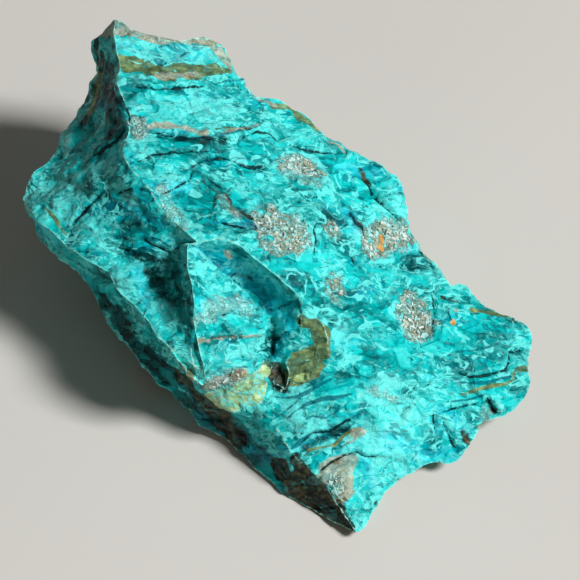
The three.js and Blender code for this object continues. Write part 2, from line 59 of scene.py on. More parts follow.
Socket = bpy.types.NodeSocket
Key = int | str

MM = 0.001
STONE_NODE = "opal_stone"
LOG = logging.getLogger("opal")
HALVES: Triple = (0.5, 0.5, 0.5)
BAND_NORMAL: Triple = (-0.57, 0.57, 0.6)


def paint(code: str) -> Colour:
    """A linear colour from a six-digit screen colour.

    Args:
        code: The colour as it looks on a screen, such as "10c5c8".

    Returns:
        The same colour as linear red, green, blue and alpha.
    """
    parts = [int(code[i : i + 2], 16) / 255 for i in (0, 2, 4)]
    linear = [c / 12.92 if c <= 0.04045 else ((c + 0.055) / 1.055) ** 2.4 for c in parts]
    return (linear[0], linear[1], linear[2], 1.0)


def ease(value: np.ndarray, low: float, high: float) -> np.ndarray:
    """A smooth step.

    Args:
        value: The numbers to grade.
        low: Where the step starts; above high, the step falls instead of rising.
        high: Where the step ends.

    Returns:
        0 before low, 1 after high, and a smooth rise in between.
    """
    share = np.clip((value - low) / (high - low), 0.0, 1.0)
    return share * share * (3.0 - 2.0 * share)


def placed(name: str, data: bpy.types.ID) -> Piece:
    """Puts a new object in the scene.

    Args:
        name: The object's name.
        data: Its mesh, light or camera.

    Returns:
        The object.
    """
    piece = bpy.data.objects.new(name, data)
    bpy.context.scene.collection.objects.link(piece)
    return piece


def apply_modifiers(piece: Piece) -> None:
    """Swaps a piece's mesh for the one that its modifiers make, and removes them.

    Args:
        piece: The piece.
    """
    made = bpy.data.meshes.new_from_object(piece.evaluated_get(bpy.context.evaluated_depsgraph_get()))
    piece.modifiers.clear()
    piece.data = made
    made.name = piece.name


def vectors(source: bpy.types.bpy_prop_collection, name: str) -> np.ndarray:
    """Reads vectors from the points of a mesh.

    Args:
        source: The points, or their outward directions.
        name: Which of their vectors is wanted.

    Returns:
        The vectors, one row each.
    """
    flat = np.empty(len(source) * 3, np.float32)
    source.foreach_get(name, flat)
    return flat.reshape(-1, 3).astype(float)


class Mark(Enum):
    """The kinds of marking that lie at fixed places on the stone. Each value names its distance field."""

    CRACK = "crack"
    OLIVE = "olive"
    TAN = "tan"
    BROWN = "brown"
    GRAIN = "grain"
    # Pale opal in places, and painted light on faces that are lit: the low face, shelf, bulge, nose and small
    # pyramid.
    PALE_AND_LIGHT = "pale"
    OCHRE = "ochre"
    # A deep teal stain in places, and painted shade on the shaded west wall, the cliffs, beside the block and
    # small pyramid, and in the gap.
    DEEP_AND_SHADE = "deep"
    YELLOW = "yellow"
    # Bluer opal, made lighter as painted light, chiefly on the scoop's shaded far side.
    BLUE = "blue"
    SEAM = "seam"
    MOTTLE = "mottle"
    # Painted shade, with a bluer hue, on the scoop's wall just behind the small pyramid's right ridge.
    WALL = "wall"


@dataclass(frozen=True)
class Stroke:
    """One marking drawn along the stone.

    Attributes:
        name: What the marking is.
        half_width: Half its width on the stone, in millimetres.
        pixels: The points of the 580 by 580 picture that it passes, seen from the viewpoint.
    """

    name: str
    half_width: float
    pixels: tuple[Pixel, ...]

    def half_widths(self, along: np.ndarray) -> np.ndarray:
        """How wide it is along its length, narrowing towards its ends, more so where it is thin.

        Args:
            along: The places along it, from 0 to 1.

        Returns:
            Its half-widths there, in millimetres.
        """
        thin, thin_end, thick_end, fullness = 0.6, 0.45, 0.8, 0.6
        end = thin_end if self.half_width < thin else thick_end
        swell = np.clip(np.sin(np.pi * along), 0.0, 1.0) ** fullness
        return self.half_width * (end + (1.0 - end) * swell)


def drawn(*rows: tuple[str | float | Pixel, ...]) -> tuple[Stroke, ...]:
    """Markings from rows that each hold a name, a half-width and the picture points."""
    return tuple(Stroke(name, half_width, tuple(pixels)) for name, half_width, *pixels in rows)


STROKES: dict[Mark, tuple[Stroke, ...]] = {
    Mark.CRACK: drawn(
        ("under the olive band", 0.28, (120, 85), (145, 88), (185, 88), (225, 82)),
        ("under the grey band", 0.32, (147, 132), (170, 135), (190, 137), (225, 140), (238, 140)),
        ("grey band end", 0.3, (238, 140), (258, 130), (270, 132), (280, 142)),
        ("beside the crest", 0.2, (127, 108), (130, 118), (131, 135)),
        ("upper step", 0.3, (130, 163), (145, 158), (152, 153), (190, 151), (222, 153)),
        ("hook", 0.35, (192, 167), (205, 160), (222, 157), (235, 163), (248, 167), (264, 165)),
        ("hook end", 0.3, (240, 166), (250, 168), (263, 165)),
        ("slanting", 0.25, (195, 167), (210, 180), (225, 190), (235, 198)),
        ("loop", 0.25, (152, 194), (165, 193), (175, 188), (190, 180), (193, 170)),
        ("bulge arc", 0.28, (115, 195), (125, 190), (138, 188), (155, 195)),
        ("bulge low", 0.3, (60, 227), (72, 223), (85, 210), (95, 200), (103, 192)),
        ("west wall", 0.4, (93, 155), (110, 145), (125, 128)),
        ("bulge streak", 0.25, (108, 243), (120, 248), (135, 252)),
        ("bulge streak east", 0.3, (143, 240), (155, 246), (170, 252)),
        ("middle nick", 0.35, (222, 223), (235, 226), (250, 230)),
        ("middle scratch", 0.25, (285, 207), (297, 202), (308, 195)),
        ("east nick", 0.45, (350, 212), (357, 222), (363, 228), (365, 235)),
        ("middle drop", 0.35, (320, 220), (315, 228), (316, 245), (314, 258)),
        ("east drop", 0.25, (350, 255), (353, 261), (356, 268)),
        ("back rim", 0.25, (290, 145), (303, 148), (320, 150), (335, 152), (338, 160)),
        ("shoulder seam", 0.22, (355, 160), (362, 178), (373, 193), (385, 205), (395, 215), (405, 228)),
        ("shoulder seam end", 0.2, (405, 228), (416, 243), (426, 258), (435, 272), (437, 290)),
        ("lobe root", 0.25, (433, 292), (435, 310), (433, 330)),
        (
            "lobe step", 0.32,
            (457, 372), (470, 377), (490, 374), (505, 370), (509, 362), (510, 352), (528, 350),
        ),
        ("lobe lower step", 0.28, (438, 413), (452, 408), (470, 405), (484, 402)),
        ("lobe brown nick", 0.4, (487, 398), (491, 405), (495, 413)),
        ("lobe foot", 0.28, (433, 415), (434, 422), (435, 430)),
        ("lobe foot east", 0.28, (442, 420), (448, 433), (455, 448)),
        ("low step", 0.32, (300, 445), (312, 433), (330, 432), (345, 422), (357, 417)),
        ("low patch rim", 0.28, (318, 473), (330, 463), (345, 455), (357, 452), (365, 457), (378, 457)),
        ("pyramid upper", 0.2, (220, 316), (230, 313), (240, 314)),
        ("pyramid lower", 0.18, (205, 339), (230, 337), (250, 338), (265, 336)),
        ("scoop upper", 0.22, (265, 310), (280, 305), (300, 300)),
        ("scoop lower", 0.3, (267, 338), (280, 335), (295, 328)),
        ("scoop side", 0.22, (298, 300), (301, 315), (297, 330)),
        ("north fold", 0.2, (225, 128), (243, 126), (262, 122), (272, 128)),
        ("east ledge", 0.2, (362, 262), (380, 266), (398, 260), (412, 252)),
    ),
    Mark.OLIVE: drawn(
        ("upper band west", 1.7, (119, 61), (134, 67), (152, 70)),
        ("upper band east", 1.75, (146, 71), (170, 73), (195, 72), (214, 69)),
        ("upper band end", 0.7, (212, 69), (222, 71), (230, 72)),
        ("back rim", 0.8, (273, 107), (290, 107), (303, 119), (320, 130)),
        ("lobe rim", 0.55, (470, 310), (490, 312), (510, 317)),
        ("lobe line", 0.38, (458, 395), (475, 391), (490, 387), (505, 385), (513, 380), (515, 370)),
        ("lobe block", 0.6, (518, 369), (527, 369)),
        ("yellow lobe root", 1.2, (262, 372), (266, 366)),
        ("yellow patch", 2.6, (288, 373), (303, 366), (318, 354)),
        ("yellow patch loop", 1.4, (323, 350), (323, 336), (314, 324), (303, 320)),
        ("low line", 0.32, (303, 457), (310, 450), (325, 447), (335, 445), (345, 435), (355, 428)),
        ("west wall", 1.4, (99, 72), (97, 92), (93, 110)),
        ("middle streak", 0.35, (215, 131), (232, 128), (252, 129)),
        ("bulge streak", 0.4, (45, 207), (56, 220), (66, 235)),
    ),
    Mark.TAN: drawn(
        ("peak", 1.6, (104, 32), (116, 27), (130, 32)),
        ("crust west", 0.95, (130, 31), (145, 37), (165, 41), (183, 41)),
        ("crust east", 0.95, (183, 41), (198, 38), (212, 44), (222, 55), (230, 67)),
        ("back rim", 0.45, (254, 98), (265, 100), (276, 107)),
        ("back rim east", 0.4, (326, 140), (336, 146), (345, 153)),
        ("band edge", 0.7, (156, 76), (175, 77), (196, 75)),
        ("grey band", 0.75, (149, 128), (165, 126), (182, 127), (205, 133)),
        ("grey band east", 0.5, (222, 134), (243, 129), (260, 125)),
        ("under the pyramid", 0.95, (206, 387), (225, 380), (243, 373)),
        ("yellow lobe tip", 0.6, (226, 410), (240, 408)),
        ("pyramid spot", 0.6, (199, 340), (210, 341)),
        ("pyramid line", 0.3, (210, 339), (235, 337), (262, 336)),
        ("low patch", 1.9, (324, 478), (337, 468), (352, 460)),
        ("low patch south", 1.7, (343, 476), (346, 488), (340, 499)),
        ("low patch north", 0.8, (349, 441), (356, 434), (362, 432)),
        ("shoulder", 0.35, (405, 231), (413, 240), (420, 249)),
        ("scoop spot", 0.5, (226, 253), (231, 258)),
        ("cliff", 0.9, (309, 508), (330, 521), (347, 530)),
    ),
    Mark.BROWN: drawn(
        ("middle", 0.6, (227, 194), (232, 205), (233, 212)),
        ("middle east", 0.4, (243, 212), (252, 220)),
        ("lobe wedge", 0.4, (441, 298), (458, 301)),
        ("grain patch foot", 0.7, (427, 327), (433, 329)),
        ("lobe foot", 0.8, (463, 435), (468, 440)),
        ("cliff west", 2.4, (180, 376), (194, 392), (212, 414), (236, 438)),
        ("cliff east", 3.8, (284, 474), (306, 496), (338, 522)),
        ("cliff rim", 2.1, (296, 464), (318, 490), (342, 517)),
        ("peak crust", 1.0, (97, 38), (96, 52), (98, 64)),
        ("gap", 1.7, (272, 369), (277, 380), (281, 389)),
        ("shoulder", 0.35, (360, 168), (364, 176), (369, 187)),
        ("low patch spot", 0.45, (344, 499), (347, 502)),
        ("lobe nick", 0.5, (487, 398), (491, 405), (495, 413)),
        ("west wall", 1.0, (103, 55), (100, 68)),
    ),
    Mark.GRAIN: drawn(
        ("middle", 3.9, (276, 222), (290, 234)),
        ("east", 2.7, (370, 246), (386, 236), (402, 236)),
        ("north", 2.0, (289, 163), (300, 166), (312, 172)),
        ("south-east", 2.4, (413, 304), (417, 318), (416, 334)),
        ("small west", 1.1, (331, 227), (334, 230)),
        ("crest", 0.9, (137, 122), (139, 132)),
        ("low patch", 0.7, (334, 480), (340, 492)),
        ("under the pyramid", 0.55, (210, 385), (226, 380), (240, 374)),
        ("middle east", 0.8, (334, 280), (341, 288)),
    ),
    # Pale opal, and painted light where faces are lit, such as the low face, the shelf, the bulge and the
    # nose.
    Mark.PALE_AND_LIGHT: drawn(
        ("top block", 1.9, (209, 51), (224, 62)),
        ("under the crust", 1.7, (122, 47), (150, 53), (180, 55), (204, 52)),
        ("under the band", 2.8, (136, 108), (160, 106), (190, 108), (222, 108)),
        ("bulge", 2.0, (36, 192), (56, 186), (76, 188)),
        ("bulge foot", 1.6, (66, 214), (84, 226), (104, 240)),
        ("scoop wall", 0.9, (247, 262), (264, 275), (282, 291)),
        ("pyramid low", 2.0, (214, 353), (232, 354), (250, 352)),
        ("nose", 1.4, (24, 196), (42, 188)),
        ("nose south", 1.0, (46, 208), (62, 214)),
        ("wall top chip", 1.1, (100, 118), (107, 128)),
        ("bulge rim", 1.2, (112, 170), (130, 200)),
        ("shelf", 1.4, (165, 304), (173, 326)),
        ("shelf end", 1.4, (178, 350), (197, 370)),
        ("low face west", 3.6, (294, 404), (312, 426)),
        ("under the olive band", 0.7, (122, 75), (138, 79), (152, 78)),
        ("crest", 1.3, (163, 190), (171, 206), (184, 224)),
        ("crest north", 1.7, (130, 143), (143, 152)),
        ("loop", 1.6, (160, 180), (178, 176)),
        ("low face", 5.6, (386, 398), (397, 428), (388, 462)),
        ("beside the yellow patch", 1.3, (335, 338), (344, 322)),
        ("beside the grain patch", 1.7, (398, 306), (401, 326)),
        ("shoulder", 1.3, (394, 190), (405, 214)),
        ("wall chip", 0.8, (71, 128), (67, 145), (67, 158)),
        ("wall chip east", 0.7, (103, 116), (105, 132)),
        ("wall block", 1.0, (99, 162), (104, 166)),
        ("wall streak", 0.45, (110, 163), (122, 180)),
        ("pyramid", 1.0, (206, 285), (222, 296)),
        ("pyramid band", 2.0, (202, 312), (225, 308), (252, 309)),
        ("lobe end", 1.2, (515, 330), (524, 345)),
        ("middle east", 1.4, (322, 262), (338, 275)),
        ("north grain rim", 3.4, (288, 160), (302, 165), (318, 174)),
        ("middle grain rim", 3.6, (262, 212), (284, 222), (304, 238)),
        ("east grain rim", 3.0, (358, 240), (384, 226), (406, 246)),
        ("under the pyramid rim", 1.6, (204, 380), (224, 372), (244, 366)),
        ("block", 1.0, (118, 268), (130, 285)),
    ),
    # A deep teal stain, and painted shade on the shaded walls and cliffs, beside the block and the small
    # pyramid and in the gap.
    Mark.DEEP_AND_SHADE: drawn(
        ("beside the block", 1.7, (150, 272), (160, 290), (170, 312)),
        ("shelf root", 1.5, (176, 270), (180, 295), (184, 322)),
        ("beside the pyramid", 0.9, (188, 300), (190, 330), (193, 372)),
        ("bulge streaks", 0.5, (115, 236), (135, 240), (155, 238)),
        ("bulge streaks south", 0.5, (120, 252), (150, 258), (172, 262)),
        ("wall foot", 1.0, (88, 160), (104, 148), (116, 140)),
        ("outer edge", 2.6, (104, 300), (128, 334), (150, 358), (172, 384)),
        ("outer edge south", 3.0, (182, 398), (214, 424), (246, 450), (276, 480)),
        ("middle east", 1.0, (238, 208), (252, 216), (262, 206)),
        ("wall", 1.6, (98, 80), (96, 105), (84, 122)),
        ("scoop edge", 0.5, (268, 330), (270, 345), (271, 360)),
        ("west wall", 3.0, (104, 70), (110, 100), (118, 130)),
        ("cliff middle", 3.0, (262, 466), (280, 486), (300, 506)),
        ("middle", 0.8, (196, 170), (212, 184), (224, 194)),
        ("under the hook", 0.4, (236, 171), (252, 172), (266, 168)),
        ("under the band", 0.5, (150, 137), (190, 141), (225, 143)),
        ("east notch", 1.0, (352, 218), (360, 226), (364, 236)),
        ("shelf middle", 0.9, (165, 332), (172, 346)),
        ("middle nick", 1.0, (240, 216), (262, 230)),
        ("low step", 0.7, (305, 447), (325, 437), (345, 428)),
        ("cliff", 2.6, (170, 372), (205, 402), (240, 436)),
        ("cliff east", 2.6, (240, 440), (262, 462), (285, 486)),
        ("gap", 1.3, (268, 366), (274, 378), (278, 388)),
    ),
    # Bluer opal, lightened as painted light on the scoop's shaded far side.
    Mark.BLUE: drawn(
        ("scoop start", 0.9, (205, 248), (214, 254)),
        ("scoop high", 2.1, (217, 256), (228, 263), (242, 274)),
        ("scoop middle", 2.2, (246, 274), (262, 287), (276, 298)),
        ("scoop low", 2.8, (282, 306), (281, 320), (279, 334)),
        ("scoop foot", 1.6, (274, 344), (277, 354)),
        ("notch", 1.6, (345, 214), (354, 222), (358, 232)),
        ("bulge", 1.6, (120, 214), (140, 212), (160, 222)),
        ("loop", 1.2, (170, 186), (186, 186)),
        ("low face", 1.0, (362, 458), (368, 470), (372, 484)),
        ("shelf", 1.3, (136, 268), (144, 290), (150, 310)),
    ),
    Mark.YELLOW: drawn(
        ("lobe", 2.5, (216, 399), (232, 403), (248, 397), (260, 386)),
        ("lobe top", 1.2, (222, 393), (240, 388), (254, 380)),
        ("lobe north", 1.5, (258, 378), (264, 370)),
        ("patch tip", 0.8, (298, 378), (306, 376)),
    ),
    Mark.SEAM: drawn(
        ("low face north", 0.3, (270, 396), (284, 398), (297, 397), (308, 392), (322, 384), (334, 377)),
        ("low face middle", 0.36, (288, 418), (298, 410), (308, 404), (322, 399), (336, 398), (353, 394)),
        ("low face west", 0.2, (270, 421), (286, 411), (297, 402), (303, 399)),
        ("low face loop", 0.2, (300, 424), (312, 416), (326, 418), (337, 412), (340, 404)),
        ("low step west", 0.42, (291, 449), (300, 442), (308, 436), (316, 432), (330, 433)),
        ("low step east", 0.32, (343, 422), (356, 415), (368, 410)),
        ("olive band end", 0.28, (222, 82), (238, 80), (250, 77)),
        ("grey band end", 0.28, (203, 138), (232, 134), (257, 127)),
        ("lobe", 0.32, (457, 383), (486, 383), (511, 376)),
        ("lobe north", 0.25, (455, 352), (478, 350), (500, 344)),
        ("lobe south", 0.25, (446, 402), (470, 399), (488, 394)),
    ),
    # Painted shade on the scoop's wall behind the small pyramid's ridge.
    Mark.WALL: drawn(
        ("scoop top", 0.7, (203, 247), (216, 259)),
        ("scoop upper", 1.1, (216, 258), (233, 272), (250, 286)),
        ("scoop middle", 0.8, (250, 284), (264, 299), (270, 314)),
    ),
    Mark.MOTTLE: drawn(
        ("pyramid band", 1.7, (199, 320), (213, 308), (232, 302), (252, 308)),
        ("crest", 1.3, (160, 190), (172, 210), (184, 226)),
        ("middle", 1.1, (222, 196), (230, 208), (238, 218)),
        ("wall chips", 0.9, (70, 132), (66, 150)),
        ("low face east", 1.6, (378, 392), (392, 398)),
        ("under the north grains", 1.2, (284, 172), (300, 178), (318, 184)),
        ("above the olive patch", 1.0, (330, 292), (338, 304)),
        ("lobe nick", 0.8, (484, 410), (490, 420)),
    ),
    Mark.OCHRE: drawn(
        ("east grain patch", 0.7, (382, 236), (383, 249)),
        ("lobe root", 0.55, (453, 320), (453, 325)),
        ("gap rim", 0.4, (455, 309), (457, 312)),
    ),
}


@dataclass(frozen=True)
class Hollow:
    """A scooped hollow that lies behind a ridge, named by the picture points round it.

    Attributes:
        name: What is scooped out.
        depth: How deep it is just behind the ridge, in millimetres.
        ridge: The picture points along the ridge.
        rim: The picture points along the far side, where the hollow runs out.
    """

    name: str
    depth: float
    ridge: tuple[Pixel, ...]
    rim: tuple[Pixel, ...]

    def covers(self, seen: np.ndarray) -> np.ndarray:
        """Which picture points lie between its ridge and its rim.

        Args:
            seen: The picture points, one row each.

        Returns:
            True for each that lies inside.
        """
        inside = np.zeros(len(seen), bool)
        across, down = seen.T
        outline = self.ridge + self.rim[::-1]
        for start, end in itertools.pairwise(outline + outline[:1]):
            if start[1] != end[1]:
                side = start[0] + (down - start[1]) * (end[0] - start[0]) / (end[1] - start[1])
                inside ^= ((start[1] > down) != (end[1] > down)) & (across < side)
        return inside


HOLLOWS = (
    Hollow(
        "scoop",
        2.3,
        ((197, 247), (215, 264), (231, 279), (247, 292), (261, 309), (266, 322), (266, 340), (265, 358)),
        (
            (206, 243), (232, 244), (252, 257), (272, 271), (287, 284),
            (303, 300), (304, 322), (296, 342), (284, 360),
        ),
    ),
)


@dataclass(frozen=True)
class Viewpoint:
    """Where the stone is looked at from.

    Attributes:
        target: The point looked at, in metres.
        azimuth: The camera's turn round the stone, in degrees.
        elevation: The camera's height above the horizon, in degrees.
        distance: From the camera to the target, in metres.
        scale: Picture pixels to one millimetre at the target.
        picture: The picture's side, in pixels.
        sensor: The camera sensor's width, in millimetres.
    """

    target: Triple = (7.22 * MM, -0.84 * MM, 15.0 * MM)
    azimuth: float = 45.0
    elevation: float = 52.0
    distance: float = 0.7
    scale: float = 5.3
    picture: int = 580
    sensor: float = 36.0

    @property
    def axes(self) -> Matrix:
        """The picture's own directions.

        Returns:
            Right, up and towards the camera, as columns.
        """
        turn = math.radians(self.azimuth)
        tilt = math.radians(self.elevation)
        back = Vector((math.sin(turn) * math.cos(tilt), -math.cos(turn) * math.cos(tilt), math.sin(tilt)))
        return back.to_track_quat("Z", "Y").to_matrix()

    @property
    def eye(self) -> Vector:
        """The camera's place."""
        return Vector(self.target) + self.axes.col[2] * self.distance

    def ray(self, pixel: Pixel) -> Vector:
        """The direction in which a picture point is seen.

        Args:
            pixel: The picture point, counted from its top left corner.

        Returns:
            The direction from the eye, of length 1.
        """
        right, up, back = self.axes.col
        middle = self.picture / 2
        across = (pixel[0] - middle) / self.scale * MM
        rise = (middle - pixel[1]) / self.scale * MM
        return (right * across + up * rise - back * self.distance).normalized()

    def pixels(self, points: np.ndarray) -> np.ndarray:
        """Where points are seen in the picture.

        Args:
            points: The points, one row each, in millimetres.

        Returns:
            Their picture points, one row each.
        """
        across, rise, toward = ((points - np.array(self.eye) / MM) @ np.array(self.axes)).T
        shrink = self.distance / MM / -toward * self.scale
        return np.stack([self.picture / 2 + across * shrink, self.picture / 2 - rise * shrink], axis=1)

    def build(self) -> None:
        """Makes the camera that the scene is seen through."""
        data = bpy.data.cameras.new("viewpoint")
        data.sensor_width = self.sensor
        half_view = self.picture / 2 / self.scale * MM
        data.lens = self.sensor / 2 * self.distance / half_view
        camera = placed("viewpoint", data)
        camera.location = self.eye
        camera.rotation_euler = self.axes.to_euler()
        bpy.context.scene.camera = camera


class Unevenness:
    """Repeatable noise on arrays of points in millimetres."""

    @staticmethod
    def scramble(cell: np.ndarray, seed: int) -> np.ndarray:
        """One repeatable whole number for each grid cell.

        Args:
            cell: Whole grid coordinates, one row a point.
            seed: Which noise is wanted.

        Returns:
            Numbers from 0 to 2**32 - 1.
        """
        low_bits, mixer, seed_mixer = 0xFFFFFFFF, 0x45D9F3B, 40503
        across, along, up = (cell * (73856093, 19349663, 83492791)).T
        mixed = (across ^ along ^ up ^ (seed * seed_mixer)) & low_bits
        mixed = ((mixed ^ (mixed >> 16)) * mixer) & low_bits
        mixed = ((mixed ^ (mixed >> 16)) * mixer) & low_bits
        return mixed ^ (mixed >> 16)

    @staticmethod
    def spread(mixed: np.ndarray) -> np.ndarray:
        """Three numbers from 0 to 1 out of each scrambled number."""
        bits = 1023
        return np.stack([(mixed >> shift & bits) / bits for shift in (0, 10, 20)], axis=1)

    @classmethod
    def lumps(cls, points: np.ndarray, size: float, seed: int, layers: int = 1) -> np.ndarray:
        """Smooth lumps, each finer layer half as high as the one before.

        Args:
            points: The points, one row each, in millimetres.
            size: From one lump to the next, in millimetres.
            seed: Which noise is wanted.
            layers: How many layers are added up.

        Returns:
            A height from about -1 to 1 for each point.
        """
        shift, seed_step, gain = 0.37, 7, 1.6
        total = np.zeros(len(points))
        for layer in range(layers):
            scaled = points / (size / 2.0**layer) + shift * layer
            home = np.floor(scaled).astype(np.int64)
            part = scaled - home
            blend = part**3 * (part * (part * 6.0 - 15.0) + 10.0)
            height = np.zeros(len(points))
            for corner in itertools.product((0, 1), repeat=3):
                pull = cls.spread(cls.scramble(home + corner, seed + seed_step * layer)) * 2.0 - 1.0
                weight = np.prod(np.where(corner, blend, 1.0 - blend), axis=1)
                height += weight * ((part - corner) * pull).sum(axis=1)
            total += height / 2.0**layer
        return total * gain

    @classmethod
    def cells(cls, points: np.ndarray, size: float, seed: int) -> tuple[np.ndarray, np.ndarray]:
        """Chips that fill space, each with its own middle and chance.

        Args:
            points: The points, one row each, in millimetres.
            size: The width of a chip, in millimetres.
            seed: Which noise is wanted.

        Returns:
            From the middle of its chip to each point, in millimetres, and three repeatable numbers from
            -1 to 1 for its chip.
        """
        scaled = points / size
        home = np.floor(scaled).astype(np.int64)
        nearest = np.full(len(points), np.inf)
        away = np.zeros_like(scaled)
        chip = np.zeros(len(points), np.int64)
        for step in itertools.product((-1, 0, 1), repeat=3):
            mixed = cls.scramble(home + step, seed)
            gap = scaled - (home + step + cls.spread(mixed))
            apart = (gap * gap).sum(axis=1)
            nearer = apart < nearest
            nearest = np.where(nearer, apart, nearest)
            away[nearer] = gap[nearer]
            chip[nearer] = mixed[nearer]
        mixed = cls.scramble(np.stack([chip, chip >> 7, chip >> 13], axis=1), seed + 1)
        return away * size, cls.spread(mixed) * 2.0 - 1.0


@dataclass
class BrokenSkin:
    """The stone's finely broken skin, made over the faceted solid. Lengths are in millimetres.

    Attributes:
        node: The solid that the skin is copied from.
        viewpoint: Where the markings' picture points are seen from.
        levels: How many times each triangle is divided.
        crease: The ridge angles, in degrees, between which a ridge goes from rounded to sharp.
        banding: The direction square to the opal's bands.
        fold_turn: How far the bands turn in the folded part of the low face, in degrees.
        fold_pixel: The picture point at the middle of that fold.
        fold_radius: How far the fold reaches.
        chips: Width, slope and step of each size of chip.
        ledges: Spacing and height of each size of ledge.
        crack_depth: How deep the cracks are carved.
        groove_depth: How deep the skin is worn where it is brown.
        step_height: How far the stone above a crack stands over the stone below it.
        wobble: How unevenly wide a marking is, as a share of its width.
        wobble_length: From one wide place to the next.
        reach: The greatest distance kept in a marking's distance field.
        deepest: How far in the skin may lie from the solid.
        highest: How far out the skin may lie from the solid.
        tree: The solid's faces, for finding where a picture point lies on them.
        points: The skin's points, one row each.
        normals: The outward direction at each point before the skin is broken.
        ends: For each edge, counted both ways, the number of the point that it starts from.
        others: The number of the point that it leads to.
        bands: How high each point lies across the bands.
        rim: How far each point lies from the nearest sharp ridge, never over the reach.
        distances: How far each point lies outside each kind of marking.
    """

    node: str
    viewpoint: Viewpoint
    levels: int = 2
    crease: tuple[float, float] = (32.0, 54.0)
    banding: Triple = BAND_NORMAL
    fold_turn: float = 36.0
    fold_pixel: Pixel = (322, 446)
    fold_radius: float = 13.0
    chips: tuple[Triple, ...] = ((8.5, 0.07, 0.12), (4.0, 0.09, 0.07), (2.1, 0.1, 0.04))
    ledges: tuple[tuple[float, float], ...] = ((5.2, 0.42), (2.1, 0.16))
    crack_depth: float = 0.5
    groove_depth: float = 0.315
    step_height: float = 0.6
    wobble: float = 0.6
    wobble_length: float = 3.5
    reach: float = 8.0
    deepest: float = 1.2
    highest: float = 0.55
    tree: BVHTree = field(init=False)
    points: np.ndarray = field(init=False)
    normals: np.ndarray = field(init=False)
    ends: np.ndarray = field(init=False)
    others: np.ndarray = field(init=False)
    bands: np.ndarray = field(init=False)
    rim: np.ndarray = field(init=False)
    distances: dict[Mark, np.ndarray] = field(init=False)

    def build(self) -> Piece:
        """Makes the skin with its shape and its surface fields.

        Returns:
            The skin object, in the solid's place.
        """
        skin = self.merged_copy()
        self.tree = BVHTree.FromObject(skin, bpy.context.evaluated_depsgraph_get())
        ridges = self.ridge_points(skin)
        self.divide(skin)
        self.read(skin)
        self.rim = self.apart_from(ridges, self.reach)
        self.bands = self.band_heights()
        self.distances = {mark: self.distance_to(strokes) for mark, strokes in STROKES.items()}
        self.displace(skin)
        self.store_fields(skin)
        return skin

    def merged_copy(self) -> Piece:
        """Copies the solid with its loose triangles joined and its sharp ridges creased.

        Returns:
            The copy, with nothing else on its mesh.
        """
        weld = 0.002 * MM
        work = bmesh.new()
        work.from_mesh(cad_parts[self.node].data)
        bmesh.ops.remove_doubles(work, verts=work.verts, dist=weld)
        work.verts.index_update()
        corners = [vertex.co[:] for vertex in work.verts]
        faces = [[vertex.index for vertex in face.verts] for face in work.faces]
        work.free()
        mesh = bpy.data.meshes.new("broken_skin")
        mesh.from_pydata(corners, [], faces)
        work = bmesh.new()
        work.from_mesh(mesh)
        layer = work.edges.layers.float.new("crease_edge")
        low, high = (math.radians(angle) for angle in self.crease)
        for edge in work.edges:
            angle = edge.calc_face_angle(0.0)
            edge[layer] = min(1.0, max(0.0, (angle - low) / (high - low)))
        work.to_mesh(mesh)
        work.free()
        return placed("broken_skin", mesh)

    def ridge_points(self, skin: Piece) -> np.ndarray:
        """Points along the solid's sharp outward ridges.

        Args:
            skin: The merged copy.

        Returns:
            The points in millimetres, a fraction of a millimetre apart.
        """
        sharp, spacing = math.radians(34.0), 0.3 * MM
        work = bmesh.new()
        work.from_mesh(skin.data)
        points = []
        for edge in work.edges:
            if edge.calc_face_angle_signed(0.0) > sharp:
                start, end = (vertex.co for vertex in edge.verts)
                steps = max(1, round(edge.calc_length() / spacing))
                points += [start.lerp(end, step / steps) for step in range(steps + 1)]
        work.free()
        return np.array(points) / MM

    def divide(self, skin: Piece) -> None:
        """Divides the copy into a fine net, with the divisions applied.

        Args:
            skin: The merged copy.
        """
        divider = skin.modifiers.new("finer", "SUBSURF")
        divider.levels = self.levels
        divider.render_levels = self.levels
        apply_modifiers(skin)

    def read(self, skin: Piece) -> None:
        """Reads the skin's points, outward directions and edges into arrays.

        Args:
            skin: The fine skin.
        """
        self.points = vectors(skin.data.vertices, "co") / MM
        self.normals = vectors(skin.data.vertex_normals, "vector")
        pairs = np.empty(len(skin.data.edges) * 2, np.int32)
        skin.data.edges.foreach_get("vertices", pairs)
        first, second = pairs.reshape(-1, 2).T
        self.ends = np.concatenate([first, second])
        self.others = np.concatenate([second, first])

    def averaged(self, values: np.ndarray, rounds: int) -> np.ndarray:
        """Smooths a number over the skin.

        Args:
            values: One number a point.
            rounds: How many times each is blended with its neighbours.

        Returns:
            The smoothed numbers.
        """
        for _ in range(rounds):
            values = 0.5 * values + 0.5 * self.around(values)
        return values

    def around(self, values: np.ndarray) -> np.ndarray:
        """The mean of each point's neighbours' numbers."""
        return self.gathered(values[self.others])

    def gathered(self, along: np.ndarray) -> np.ndarray:
        """Gathers a number from the edges to the points.

        Args:
            along: One number for each edge, counted both ways.

        Returns:
            The mean, at each point, of the numbers of the edges that start from it.
        """
        count = len(self.points)
        total = np.bincount(self.ends, weights=along, minlength=count)
        return total / np.bincount(self.ends, minlength=count)

    def tamed(self, moved: np.ndarray) -> np.ndarray:
        """Draws in the lone points that stand far out from their neighbours.

        Args:
            moved: The displaced points, in millimetres.

        Returns:
            The points without their spikes.
        """
        rounds, strength, near_base = 3, 0.7, 1.0
        for _ in range(rounds):
            middle = np.stack([self.around(part) for part in moved.T], axis=1)
            apart = np.linalg.norm(moved - middle, axis=1)
            pull = strength * ease(apart, 0.4, 0.7) * (moved[:, 2] > near_base)
            moved = moved + (middle - moved) * pull[:, None]
        return moved

    def on_stone(self, pixel: Pixel) -> Vector | None:
        """Where a picture point lies on the stone, in metres, or None if it misses."""
        return self.tree.ray_cast(self.viewpoint.eye, self.viewpoint.ray(pixel))[0]

